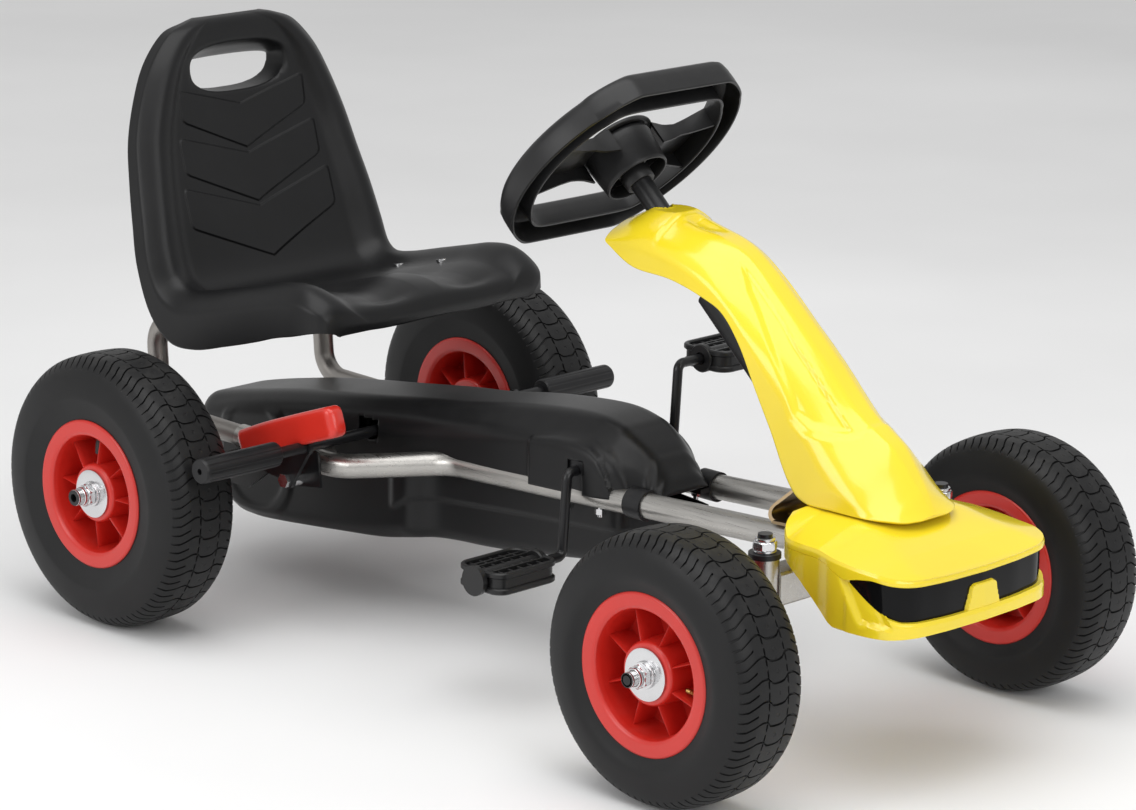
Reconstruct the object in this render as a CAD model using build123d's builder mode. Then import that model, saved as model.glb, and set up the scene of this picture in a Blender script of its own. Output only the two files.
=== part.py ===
"""Pedal go kart, built as the real one comes apart on a bench.

Millimetres. +Z is up, the kart's front faces -Y, the driver's right is -X, and the origin lies on
the ground midway between the wheels' sides. Each block below makes one piece or one group of equal
pieces and writes it as its own STEP file.
"""

import os
from math import asin, atan2, cos, hypot, pi, radians, sin, tan

from build123d import *

os.makedirs("parts", exist_ok=True)

# ---- driving dimensions -------------------------------------------------------------------------

# Running gear
FRONT_AXLE_Y = -375.0
REAR_AXLE_Y = 392.0
FRONT_TYRE_R = 130.0
REAR_TYRE_R = 143.0
FRONT_HALF_TRACK = 247.8
REAR_HALF_TRACK = 266.4
TYRE_HALF_WIDTH = 45.4
RIM_FLANGE_R = 78.0
RIM_HALF_WIDTH = 41.8
RIM_FLANGE_T = 4.0
RIM_DRUM_R = 61.0
RIM_DRUM_WALL = 4.0
RIM_BOSS_R = 29.0
RIM_BOSS_INSET = 6.0
RIM_WEB_T = 4.0
RIM_RIB_T = 3.0
RIM_RIBS = 8
AXLE_R = 7.0
REAR_AXLE_R = 8.0
AXLE_STICK_OUT = 20.0
TYRE_WALL = 5.0
TUBE_WALL = 1.5
VALVE_R = 2.8
VALVE_LENGTH = 30.0

# Frame
RAIL_R = 12.7
RAIL_WALL = 1.5
RAIL_X = 51.0
RAIL_FLARE_X = 118.0
RAIL_FRONT_Y = -392.0
RAIL_BEND_Y = 122.0
RAIL_FLARE_Y = 222.0
RAIL_REAR_Y = 372.0
RAIL_Z_AT_BEND = 183.5
RAIL_RISE = 0.048
RAIL_FLARE_Z = 172.0
RAIL_REAR_RISE = 3.0
BEND_R = 60.0
BEAM_DEPTH = 30.0
BEAM_HEIGHT = 33.0
BEAM_Z = 178.5
BEAM_WALL = 2.5
KINGPIN_X = 127.0
SLEEVE_R = 14.0
SLEEVE_BORE_R = 9.5
SLEEVE_HEIGHT = 48.0
SLEEVE_BOTTOM_Z = 161.0
BUSH_FLANGE_T = 5.0
BUSH_FLANGE_R = 15.5

# Steering
COLUMN_TILT = 42.5
WHEEL_HUB_Y = -58.0
WHEEL_HUB_Z = 528.0
COLUMN_R = 11.0
COLUMN_LENGTH = 415.0
COLUMN_BUSH_AT = COLUMN_LENGTH - 23.0
COLUMN_COVER_R = 18.0
COLUMN_COVER_TOP = 176.0
BRACKET_T = 3.0
BRACKET_HALF_WIDTH = 62.0
DROP_TIP_Y = -332.0
DROP_TIP_Z = 176.0
DROP_PIN_X = 14.0
TIE_END_X = 120.0
TIE_END_Y = -313.0
TIE_R = 4.0
STEER_WHEEL_R = 132.5
STEER_WHEEL_FLAT = 116.0
STEER_RIM_WIDTH = 26.0
STEER_RIM_DEPTH = 30.0

# Pedal drive
CRANK_Y = -67.0
CRANK_Z = 217.0
CRANK_R = 5.0
CRANK_THROW = 83.0
CRANK_LEAN = 3.0
CRANK_ARM_TOP_X = 76.0
CRANK_ARM_END_X = 86.0
PEDAL_IN_X = 119.0
PEDAL_OUT_X = 203.0
PEDAL_WIDTH = 64.0
PEDAL_HEIGHT = 22.0
CHAIN_PITCH = 12.7
CRANK_TEETH = 20
AXLE_TEETH = 24
SPROCKET_T = 3.0
CHAIN_WIDTH = 8.0
CHAIN_HEIGHT = 7.0

# Covers, seat and brake
SHELL_WALL = 2.5
COWL_WALL = 3.0
SEAT_WALL = 5.0
SEAT_LEG_R = 11.0
BRAKE_SLEEVE_R = 13.0
BRAKE_BAR_Y = REAR_AXLE_Y - REAR_TYRE_R - BRAKE_SLEEVE_R
BRAKE_BAR_Z = 196.0
BRAKE_BAR_R = 6.0
BRAKE_SLEEVE_IN_X = 190.0
BRAKE_SLEEVE_OUT_X = 288.0
BRAKE_PIVOT_Y = BRAKE_BAR_Y + 26.0
BRAKE_PIVOT_Z = 156.0
BRAKE_PIN_R = 4.0
BRAKE_ARM_T = 5.0
PAN_Y = 345.0
PAN_Z = 330.0
PAN_SLOPE = 13.7

# Fits
RUN_FIT = 0.06
SEAT_GAP = 0.3
BOLT_FIT = 0.2


# ---- helpers ------------------------------------------------------------------------------------

def save(part, name):
    """Label one finished piece and write it as its own STEP file."""
    part.label = name
    export_step(part, f"parts/{name}.step")


def shifted(points, distance):
    """Open run of points moved sideways by a distance, kept parallel to itself."""
    normals = []
    for (ax, ay), (bx, by) in zip(points, points[1:]):
        length = hypot(bx - ax, by - ay)
        normals.append(((ay - by) / length, (bx - ax) / length))
    moved = []
    for index, (px, py) in enumerate(points):
        first = normals[max(index - 1, 0)]
        second = normals[min(index, len(normals) - 1)]
        share = 1 + first[0] * second[0] + first[1] * second[1]
        nx = (first[0] + second[0]) / share
        ny = (first[1] + second[1]) / share
        moved.append((px + nx * distance, py + ny * distance))
    return moved


def strip(points, thickness):
    """Closed outline of an even strip of the given thickness along an open run of points."""
    return shifted(points, thickness / 2) + shifted(points, -thickness / 2)[::-1]


def yz_prism(outline, half_width):
    """Solid with a side-view outline of (y, z) points, as wide as given on both sides of x = 0."""
    with BuildPart() as prism:
        with BuildSketch(Plane.YZ):
            with BuildLine():
                Polyline(*outline, close=True)
            make_face()
        extrude(amount=half_width, both=True)
    return prism.part


def xy_prism(outline, z_from, z_to):
    """Solid with a plan outline of (x, y) points between two heights."""
    with BuildPart() as prism:
        with BuildSketch(Plane.XY.offset(z_from)):
            with BuildLine():
                Polyline(*outline, close=True)
            make_face()
        extrude(amount=z_to - z_from)
    return prism.part


def x_rod(radius, x_from, x_to, y, z):
    """Round bar along X."""
    with BuildPart() as rod:
        with BuildSketch(Plane.YZ.offset(x_from)):
            with Locations((y, z)):
                Circle(radius)
        extrude(amount=x_to - x_from)
    return rod.part


def z_rod(radius, x, y, z_from, z_to):
    """Round bar along Z."""
    with BuildPart() as rod:
        with BuildSketch(Plane.XY.offset(z_from)):
            with Locations((x, y)):
                Circle(radius)
        extrude(amount=z_to - z_from)
    return rod.part


def z_hexagon(across_flats, x, y, z_from, z_to):
    """Hexagon nut or head along Z."""
    with BuildPart() as nut:
        with BuildSketch(Plane.XY.offset(z_from)):
            with Locations((x, y)):
                RegularPolygon(across_flats / 2, 6, major_radius=False)
        extrude(amount=z_to - z_from)
    return nut.part


def x_hexagon(across_flats, x_from, x_to, y, z):
    """Hexagon nut or head along X."""
    with BuildPart() as nut:
        with BuildSketch(Plane.YZ.offset(x_from)):
            with Locations((y, z)):
                RegularPolygon(across_flats / 2, 6, major_radius=False)
        extrude(amount=x_to - x_from)
    return nut.part


def bent_tube(points, radius, wall, bend):
    """Tube, or a solid bar where wall is 0, along straight runs joined by round bends."""
    with BuildPart() as tube:
        with BuildLine() as run:
            FilletPolyline(*points, radius=bend)
        start = Plane(run.line @ 0, z_dir=run.line % 0)
        with BuildSketch(start):
            Circle(radius)
            if wall:
                Circle(radius - wall, mode=Mode.SUBTRACT)
        sweep()
    return tube.part


def bent_strip(points, thickness, half_width, bend):
    """Flat strip, as wide as given on both sides of x = 0, folded along a run of (y, z) points."""
    with BuildPart() as folded:
        with BuildLine() as run:
            FilletPolyline(*[(0, y, z) for y, z in points], radius=bend)
        with BuildSketch(Plane(run.line @ 0, x_dir=(1, 0, 0), z_dir=run.line % 0)):
            Rectangle(2 * half_width, thickness)
        sweep()
    return folded.part


def between(first, second, share):
    """Values part of the way from one station of a moulding to the next."""
    return [a + (b - a) * share for a, b in zip(first, second)]


def section(station, wall):
    """Corner points of one cross-section of a moulding, inset by a wall thickness.

    A station is: crown y, z; edge y, z; half-width at the crown's shoulder; half-width at the edge;
    shoulder's run inwards and its drop; the dish's half-width and its depth, both 0 for no dish.
    """
    crown_y, crown_z, edge_y, edge_z, crown_half, edge_half, run, drop, dish_half, dish = station
    reach = hypot(edge_y - crown_y, edge_z - crown_z)
    low = reach + 2 if wall else reach
    half = [
        (edge_half - wall, low),
        (crown_half - wall, max(drop, wall + 0.1)),
        (crown_half - run - wall * 0.4, wall),
    ]
    if dish_half:
        half += [(dish_half + wall * 0.4, wall), (dish_half - dish + wall * 0.4, wall + dish)]
    outline = half + [(-x, depth) for x, depth in reversed(half)]
    run_y = (edge_y - crown_y) / reach
    run_z = (edge_z - crown_z) / reach
    return [(x, crown_y + depth * run_y, crown_z + depth * run_z) for x, depth in outline]


def moulding_body(stations, wall=0.0, ends=(True, True)):
    """Solid lofted along stations, or what lies inside its wall when a wall thickness is given.

    ends says for the first and the last station whether the inside stops short of it.
    """
    placed = [list(station) for station in stations]
    for end, neighbour, closed in ((0, 1, ends[0]), (-1, -2, ends[1])):
        first = stations[end]
        second = stations[neighbour]
        apart = hypot(first[0] - second[0], first[1] - second[1])
        if wall:
            placed[end] = between(first, second, (wall if closed else -1.0) / apart)
    return Solid.make_loft([Wire.make_polygon(section(one, wall), close=True) for one in placed], True)


def moulding(stations, wall, ends=(True, True)):
    """Thin shell lofted along stations, closed at the crown and open at the edge."""
    return moulding_body(stations) - moulding_body(stations, wall, ends)


def mirrored(part):
    """The same piece on the driver's left."""
    return mirror(part, about=Plane.YZ)


def rail_z(y):
    """Height of a rail's centre line along its straight front stretch."""
    return RAIL_Z_AT_BEND + RAIL_RISE * (RAIL_BEND_Y - y)


def on_column(distance, across=0.0):
    """Point of the side view on the steering axis, counted down from the wheel's hub."""
    y = WHEEL_HUB_Y - distance * cos(radians(COLUMN_TILT)) + across * sin(radians(COLUMN_TILT))
    z = WHEEL_HUB_Z - distance * sin(radians(COLUMN_TILT)) - across * cos(radians(COLUMN_TILT))
    return (y, z)


# ---- wheels -------------------------------------------------------------------------------------

def wheel(name, side, centre_y, tyre_r, half_track, axle_r):
    """One pneumatic wheel: a tyre, its tube with the valve, a ribbed plastic rim and two bushes.

    side is -1 on the driver's right and +1 on the left. The wheel is drawn with its outer face
    towards +X at the origin and then placed.
    """
    bead_r = RIM_DRUM_R + RIM_DRUM_WALL
    bead_x = RIM_HALF_WIDTH - RIM_FLANGE_T - SEAT_GAP
    place = Plane((side * half_track, centre_y, tyre_r), x_dir=(side, 0, 0), z_dir=(0, 0, 1))
    crown = tyre_r - bead_r
    web_r = RIM_BOSS_R + 2

    with BuildPart() as rim:
        with BuildSketch(Plane.XZ):
            with BuildLine():
                Polyline(
                    (-RIM_HALF_WIDTH, RIM_DRUM_R + 3),
                    (-RIM_HALF_WIDTH, RIM_FLANGE_R - 1.5),
                    (-RIM_HALF_WIDTH + 1.5, RIM_FLANGE_R),
                    (-RIM_HALF_WIDTH + RIM_FLANGE_T, RIM_FLANGE_R - 1),
                    (-RIM_HALF_WIDTH + RIM_FLANGE_T, bead_r),
                    (RIM_HALF_WIDTH - RIM_FLANGE_T, bead_r),
                    (RIM_HALF_WIDTH - RIM_FLANGE_T, RIM_FLANGE_R - 1),
                    (RIM_HALF_WIDTH - 1.5, RIM_FLANGE_R),
                    (RIM_HALF_WIDTH, RIM_FLANGE_R - 1.5),
                    (RIM_HALF_WIDTH, RIM_DRUM_R + 3),
                    (RIM_HALF_WIDTH - 5, RIM_DRUM_R),
                    (RIM_WEB_T / 2, RIM_DRUM_R - 2),
                    (RIM_WEB_T / 2, web_r),
                    (RIM_HALF_WIDTH - RIM_BOSS_INSET, RIM_BOSS_R),
                    (RIM_HALF_WIDTH - RIM_BOSS_INSET, axle_r + 8),
                    (-RIM_HALF_WIDTH + RIM_BOSS_INSET, axle_r + 8),
                    (-RIM_HALF_WIDTH + RIM_BOSS_INSET, RIM_BOSS_R),
                    (-RIM_WEB_T / 2, web_r),
                    (-RIM_WEB_T / 2, RIM_DRUM_R - 2),
                    (-RIM_HALF_WIDTH + 5, RIM_DRUM_R),
                    close=True,
                )
            make_face()
        revolve(axis=Axis.X)
        for face_x in (RIM_WEB_T / 2, RIM_WEB_T / 2 - (RIM_HALF_WIDTH - 15)):
            with BuildSketch(Plane.YZ.offset(face_x)):
                with PolarLocations((RIM_BOSS_R + RIM_DRUM_R) / 2 - 0.5, RIM_RIBS, start_angle=12):
                    Rectangle(RIM_DRUM_R - RIM_BOSS_R + 1, RIM_RIB_T)
            extrude(amount=RIM_HALF_WIDTH - 15 - RIM_WEB_T / 2 + (0 if face_x > 0 else 1))
        with BuildSketch(Plane.XY):
            with Locations((RIM_HALF_WIDTH / 2 - 4, 0)):
                Circle(VALVE_R + SEAT_GAP)
        extrude(amount=bead_r + 1, mode=Mode.SUBTRACT)
    save(place * rim.part, f"{name}_rim")

    with BuildPart() as tyre:
        with BuildSketch(Plane.XZ):
            with BuildLine():
                outer_half = Spline(
                    (bead_x, RIM_FLANGE_R + 1),
                    (TYRE_HALF_WIDTH, bead_r + crown * 0.50),
                    (TYRE_HALF_WIDTH - 5, bead_r + crown * 0.82),
                    (TYRE_HALF_WIDTH - 17, tyre_r - 2.9),
                    (0, tyre_r - 0.2),
                    tangents=[(0.35, 1), (-1, 0)],
                )
                inner_half = Spline(
                    (0, tyre_r - 0.2),
                    (-TYRE_HALF_WIDTH + 17, tyre_r - 2.9),
                    (-TYRE_HALF_WIDTH + 5, bead_r + crown * 0.82),
                    (-TYRE_HALF_WIDTH, bead_r + crown * 0.50),
                    (-bead_x, RIM_FLANGE_R + 1),
                    tangents=[(-1, 0), (0.35, -1)],
                )
                Polyline(
                    inner_half @ 1,
                    (-bead_x, bead_r),
                    (-bead_x + TYRE_WALL + 3, bead_r),
                    (-bead_x + TYRE_WALL + 2, RIM_FLANGE_R + 3),
                    (-TYRE_HALF_WIDTH + TYRE_WALL, bead_r + crown * 0.5),
                    (-TYRE_HALF_WIDTH + TYRE_WALL + 6, bead_r + crown * 0.78),
                    (-TYRE_HALF_WIDTH / 3, tyre_r - TYRE_WALL - 3),
                    (TYRE_HALF_WIDTH / 3, tyre_r - TYRE_WALL - 3),
                    (TYRE_HALF_WIDTH - TYRE_WALL - 6, bead_r + crown * 0.78),
                    (TYRE_HALF_WIDTH - TYRE_WALL, bead_r + crown * 0.5),
                    (bead_x - TYRE_WALL - 2, RIM_FLANGE_R + 3),
                    (bead_x - TYRE_WALL - 3, bead_r),
                    (bead_x, bead_r),
                    outer_half @ 0,
                )
            make_face()
        revolve(axis=Axis.X)
    save(place * tyre.part, f"{name}_tyre")

    tube_r = bead_r + crown * 0.43
    with BuildPart() as tube:
        with BuildSketch(Plane.XZ):
            with Locations((0, tube_r)):
                Ellipse(TYRE_HALF_WIDTH * 0.62, crown * 0.43 - SEAT_GAP)
                Ellipse(TYRE_HALF_WIDTH * 0.62 - TUBE_WALL, crown * 0.43 - SEAT_GAP - TUBE_WALL,
                        mode=Mode.SUBTRACT)
        revolve(axis=Axis.X)
    valve_x = RIM_HALF_WIDTH / 2 - 4
    stem_top = bead_r + crown * 0.2
    elbow_r = RIM_DRUM_R - 9
    with BuildPart() as valve:
        with BuildSketch(Plane.XY.offset(elbow_r - VALVE_R)):
            with Locations((valve_x, 0)):
                Circle(VALVE_R)
        extrude(amount=stem_top - elbow_r + VALVE_R)
        with BuildSketch(Plane.YZ.offset(valve_x)):
            with Locations((0, elbow_r)):
                Circle(VALVE_R)
        extrude(amount=VALVE_LENGTH - 14)
    with BuildPart() as tube_and_valve:
        add(tube.part)
        add(valve.part)
        with BuildSketch(Plane.XY.offset(elbow_r)):
            with Locations((valve_x, 0)):
                Circle(VALVE_R - 1.6)
        extrude(amount=tube_r - elbow_r, mode=Mode.SUBTRACT)
        with BuildSketch(Plane.YZ.offset(valve_x)):
            with Locations((0, elbow_r)):
                Circle(VALVE_R - 1.6)
        extrude(amount=VALVE_LENGTH, mode=Mode.SUBTRACT)
    save(place * tube_and_valve.part, f"{name}_tube")

    bush_face = RIM_HALF_WIDTH - RIM_BOSS_INSET
    with BuildPart() as bushes:
        for end in (-1, 1):
            with BuildSketch(Plane.YZ.offset(end * bush_face)):
                Circle(axle_r + 8)
                Circle(axle_r + RUN_FIT, mode=Mode.SUBTRACT)
            extrude(amount=-end * 22)
    save(place * bushes.part, f"{name}_bushes")


WHEELS = (
    ("front_right", -1, FRONT_AXLE_Y, FRONT_TYRE_R, FRONT_HALF_TRACK, AXLE_R),
    ("front_left", 1, FRONT_AXLE_Y, FRONT_TYRE_R, FRONT_HALF_TRACK, AXLE_R),
    ("rear_right", -1, REAR_AXLE_Y, REAR_TYRE_R, REAR_HALF_TRACK, REAR_AXLE_R),
    ("rear_left", 1, REAR_AXLE_Y, REAR_TYRE_R, REAR_HALF_TRACK, REAR_AXLE_R),
)
for wheel_values in WHEELS:
    wheel(*wheel_values)


# ---- frame --------------------------------------------------------------------------------------

beam_y = FRONT_AXLE_Y
beam_top = BEAM_Z + BEAM_HEIGHT / 2
beam_bottom = BEAM_Z - BEAM_HEIGHT / 2
rail_route = [
    (RAIL_X, RAIL_FRONT_Y, rail_z(RAIL_FRONT_Y)),
    (RAIL_X, RAIL_BEND_Y, RAIL_Z_AT_BEND),
    (RAIL_FLARE_X, RAIL_FLARE_Y, RAIL_FLARE_Z),
    (RAIL_FLARE_X, RAIL_REAR_Y, RAIL_FLARE_Z + RAIL_REAR_RISE),
]
left_rail_tube = bent_tube(rail_route, RAIL_R, RAIL_WALL, BEND_R)
left_rail_body = bent_tube(rail_route, RAIL_R, 0, BEND_R)
BLOCK_BOLT_Y = 22.0
BLOCK_BOLT_R = 3.0
CLAMP_Y = -143.0
CLAMP_BOLT_X = 29.0
SCREW_R = 2.5
bracket_screw_y = -350.0

with BuildPart() as left_rail:
    add(left_rail_tube)
    for bolt_y in (CRANK_Y - BLOCK_BOLT_Y, CRANK_Y + BLOCK_BOLT_Y):
        add(z_rod(BLOCK_BOLT_R + BOLT_FIT, RAIL_X, bolt_y, 100, 260), mode=Mode.SUBTRACT)
    add(z_rod(SCREW_R + BOLT_FIT, RAIL_X, bracket_screw_y, rail_z(bracket_screw_y), 260),
        mode=Mode.SUBTRACT)
save(left_rail.part, "left_rail")
save(mirrored(left_rail.part), "right_rail")

PAD_HEIGHT = 7.0
NOSE_POST_X = 85.0
NOSE_POST_R = 7.0
NOSE_SCREW_R = 2.5
with BuildPart() as front_beam:
    with BuildSketch(Plane.YZ):
        with Locations((beam_y, BEAM_Z)):
            RectangleRounded(BEAM_DEPTH, BEAM_HEIGHT, 3)
            RectangleRounded(BEAM_DEPTH - 2 * BEAM_WALL, BEAM_HEIGHT - 2 * BEAM_WALL, 1,
                             mode=Mode.SUBTRACT)
    extrude(amount=KINGPIN_X - SLEEVE_R / 2, both=True)
    for side in (-1, 1):
        add(z_rod(SLEEVE_R, side * KINGPIN_X, beam_y, SLEEVE_BOTTOM_Z,
                  SLEEVE_BOTTOM_Z + SLEEVE_HEIGHT))
        with BuildSketch(Plane.XY.offset(beam_top - 1)):
            with Locations((side * RAIL_X, beam_y)):
                Rectangle(2 * RAIL_R, BEAM_DEPTH - 4)
        extrude(amount=PAD_HEIGHT + 1)
    for side in (-1, 1):
        add(z_rod(SLEEVE_BORE_R, side * KINGPIN_X, beam_y, SLEEVE_BOTTOM_Z - 1,
                  SLEEVE_BOTTOM_Z + SLEEVE_HEIGHT + 1), mode=Mode.SUBTRACT)
        add(z_rod(NOSE_SCREW_R + BOLT_FIT, side * NOSE_POST_X, beam_y, 100, 240), mode=Mode.SUBTRACT)
    add(left_rail_body, mode=Mode.SUBTRACT)
    add(mirrored(left_rail_body), mode=Mode.SUBTRACT)
save(front_beam.part, "front_beam")

KINGPIN_R = AXLE_R
kingpin_top = SLEEVE_BOTTOM_Z + SLEEVE_HEIGHT
with BuildPart() as kingpin_bushes:
    for side in (-1, 1):
        for base, face in ((kingpin_top, 1), (SLEEVE_BOTTOM_Z, -1)):
            low = base if face > 0 else base - BUSH_FLANGE_T
            add(z_rod(BUSH_FLANGE_R, side * KINGPIN_X, beam_y, low, low + BUSH_FLANGE_T))
            neck = base - 14 if face > 0 else base
            add(z_rod(SLEEVE_BORE_R, side * KINGPIN_X, beam_y, neck, neck + 14))
            add(z_rod(KINGPIN_R + RUN_FIT, side * KINGPIN_X, beam_y, low - 20, low + 30),
                mode=Mode.SUBTRACT)
save(kingpin_bushes.part, "kingpin_bushes")

# Rear hangers: plates welded inside the rail ends, each with a cup that holds an axle bearing.
HANGER_T = 5.0
HANGER_X = RAIL_FLARE_X - RAIL_R - HANGER_T
CUP_R = 24.0
BEARING_R = 19.0
BEARING_W = 12.0
hanger_outline = [
    (RAIL_REAR_Y - 60, RAIL_FLARE_Z - 10),
    (RAIL_REAR_Y - 60, RAIL_FLARE_Z + 8),
    (RAIL_REAR_Y, RAIL_FLARE_Z + 10),
    (REAR_AXLE_Y + 24, RAIL_FLARE_Z - 6),
    (REAR_AXLE_Y + 26, REAR_TYRE_R - 14),
    (REAR_AXLE_Y + 14, REAR_TYRE_R - 28),
    (REAR_AXLE_Y - 14, REAR_TYRE_R - 28),
]
with BuildPart() as left_hanger:
    with BuildSketch(Plane.YZ.offset(HANGER_X)):
        with BuildLine():
            Polyline(*hanger_outline, close=True)
        make_face()
    extrude(amount=HANGER_T)
    add(x_rod(CUP_R, HANGER_X - BEARING_W, HANGER_X + HANGER_T, REAR_AXLE_Y, REAR_TYRE_R))
    add(x_rod(BEARING_R, HANGER_X - BEARING_W - 1, HANGER_X + HANGER_T - 2, REAR_AXLE_Y, REAR_TYRE_R),
        mode=Mode.SUBTRACT)
    add(x_rod(REAR_AXLE_R + 3, HANGER_X, HANGER_X + HANGER_T + 1, REAR_AXLE_Y, REAR_TYRE_R),
        mode=Mode.SUBTRACT)
with BuildPart() as rear_hangers:
    add(left_hanger.part)
    add(mirrored(left_hanger.part))
save(rear_hangers.part, "rear_hangers")

with BuildPart() as rear_bearings:
    for side in (-1, 1):
        inner = HANGER_X + HANGER_T - 2 - BEARING_W
        with BuildSketch(Plane.YZ.offset(side * inner)):
            with Locations((REAR_AXLE_Y, REAR_TYRE_R)):
                Circle(BEARING_R)
                Circle(REAR_AXLE_R + RUN_FIT, mode=Mode.SUBTRACT)
        extrude(amount=side * BEARING_W)
save(rear_bearings.part, "rear_bearings")

# Cross tube between the flared rails, through the chain guard.
CROSS_Y = 300.0
CROSS_Z = 158.0
CROSS_R = 11.0
with BuildPart() as cross_tube:
    add(x_rod(CROSS_R, -RAIL_FLARE_X, RAIL_FLARE_X, CROSS_Y, CROSS_Z))
    add(x_rod(CROSS_R - RAIL_WALL, -RAIL_FLARE_X, RAIL_FLARE_X, CROSS_Y, CROSS_Z), mode=Mode.SUBTRACT)
    add(left_rail_body, mode=Mode.SUBTRACT)
    add(mirrored(left_rail_body), mode=Mode.SUBTRACT)
save(cross_tube.part, "cross_tube")

# Seat stand: two tubes that plug into the rails' rear ends, run back over the axle, bend up and
# return forward under the seat pan, joined by a tie tube.
LEG_BEND_R = 30.0
LEG_TOP_Y = 268.0
LEG_BACK_Y = 511.0
TIE_TUBE_Y = 330.0
TIE_TUBE_R = 8.0
SEAT_BOLT_YS = (315.0, 382.0)
SEAT_BOLT_R = 3.0
pan_tan = tan(radians(PAN_SLOPE))


def pan_z(y):
    """Height of the middle of the seat pan's upper surface."""
    return PAN_Z - (y - PAN_Y) * pan_tan


def leg_z(y):
    """Height of a seat leg's centre line where it lies under the pan."""
    return pan_z(y) - SEAT_WALL - (SEAT_LEG_R + SEAT_GAP) / cos(radians(PAN_SLOPE))


def on_pan(radius, side, y, low, high):
    """Round piece square to the pan at a seat bolt, between two distances from its surface."""
    normal = (0, sin(radians(PAN_SLOPE)), cos(radians(PAN_SLOPE)))
    with BuildPart() as rod:
        with BuildSketch(Plane((side * RAIL_FLARE_X, y, pan_z(y)), z_dir=normal).offset(low)):
            Circle(radius)
        extrude(amount=high - low)
    return rod.part


rear_rise = RAIL_REAR_RISE / (RAIL_REAR_Y - RAIL_FLARE_Y)
leg_in_y = RAIL_REAR_Y - 40
leg_out_y = LEG_BACK_Y - 8
left_leg_body = bent_tube([
    (RAIL_FLARE_X, leg_in_y, RAIL_FLARE_Z + rear_rise * (leg_in_y - RAIL_FLARE_Y)),
    (RAIL_FLARE_X, leg_out_y, RAIL_FLARE_Z + rear_rise * (leg_out_y - RAIL_FLARE_Y)),
    (RAIL_FLARE_X, LEG_BACK_Y, leg_z(LEG_BACK_Y)),
    (RAIL_FLARE_X, LEG_TOP_Y, leg_z(LEG_TOP_Y)),
], SEAT_LEG_R, 0, LEG_BEND_R)
with BuildPart() as seat_stand:
    add(left_leg_body)
    add(mirrored(left_leg_body))
    add(x_rod(TIE_TUBE_R, -RAIL_FLARE_X, RAIL_FLARE_X, TIE_TUBE_Y, leg_z(TIE_TUBE_Y)))
    for side in (-1, 1):
        for bolt_y in SEAT_BOLT_YS:
            add(on_pan(SEAT_BOLT_R + BOLT_FIT, side, bolt_y, -60, 20), mode=Mode.SUBTRACT)
save(seat_stand.part, "seat_stand")


# ---- steering -----------------------------------------------------------------------------------

tilt_cos = cos(radians(COLUMN_TILT))
tilt_sin = sin(radians(COLUMN_TILT))
bush_y, bush_z = on_column(COLUMN_BUSH_AT)
steer_plane = Plane((0, WHEEL_HUB_Y, WHEEL_HUB_Z), x_dir=(1, 0, 0), z_dir=(0, tilt_cos, tilt_sin))


def column_disc(radius, start, length, bore=0.0):
    """Round piece on the steering axis, from a distance below the hub upwards by its length."""
    with BuildPart() as disc:
        with BuildSketch(steer_plane.offset(-start)):
            Circle(radius)
            if bore:
                Circle(bore, mode=Mode.SUBTRACT)
        extrude(amount=length)
    return disc.part


bracket_z = rail_z(bracket_screw_y) + RAIL_R + BRACKET_T / 2 + 0.1
corner_run = (bush_z - bracket_z) / tilt_cos
corner_y = bush_y + corner_run * tilt_sin
BRACKET_FRONT_Y = RAIL_FRONT_Y + 14
bracket_line = [
    on_column(COLUMN_BUSH_AT, -34),
    (corner_y, bracket_z - RAIL_RISE * (corner_y - bracket_screw_y)),
    (BRACKET_FRONT_Y, bracket_z - RAIL_RISE * (BRACKET_FRONT_Y - bracket_screw_y)),
]
with BuildPart() as column_bracket:
    add(bent_strip(bracket_line, BRACKET_T, BRACKET_HALF_WIDTH, 9))
    with BuildSketch(Plane.XY.offset(bracket_z - 20)):
        with Locations((0, (BRACKET_FRONT_Y + corner_y - 16) / 2)):
            Rectangle(2 * (RAIL_X - RAIL_R), corner_y - 16 - BRACKET_FRONT_Y)
    extrude(amount=32, mode=Mode.SUBTRACT)
    with BuildSketch(Plane((0, corner_y, bracket_line[1][1]), x_dir=(1, 0, 0),
                           z_dir=(0, tilt_cos, tilt_sin))):
        for side in (-1, 1):
            with BuildLine():
                Polyline((side * (BRACKET_HALF_WIDTH + 1), -8), (side * 43, -42), (side * 43, -120),
                         (side * (BRACKET_HALF_WIDTH + 1), -120), close=True)
            make_face()
    extrude(amount=12, both=True, mode=Mode.SUBTRACT)
    add(column_disc(COLUMN_R + 4, COLUMN_BUSH_AT + 12, 24), mode=Mode.SUBTRACT)
    for side in (-1, 1):
        add(z_rod(SCREW_R + BOLT_FIT, side * RAIL_X, bracket_screw_y, bracket_z - 10, bracket_z + 10),
            mode=Mode.SUBTRACT)
    add(left_rail_body, mode=Mode.SUBTRACT)
    add(mirrored(left_rail_body), mode=Mode.SUBTRACT)
save(column_bracket.part, "column_bracket")

with BuildPart() as column_bush:
    add(column_disc(COLUMN_R + 4, COLUMN_BUSH_AT + 10, 20, COLUMN_R + RUN_FIT))
    add(column_disc(COLUMN_R + 8, COLUMN_BUSH_AT - BRACKET_T / 2, 4, COLUMN_R + RUN_FIT))
save(column_bush.part, "column_bush")

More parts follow.
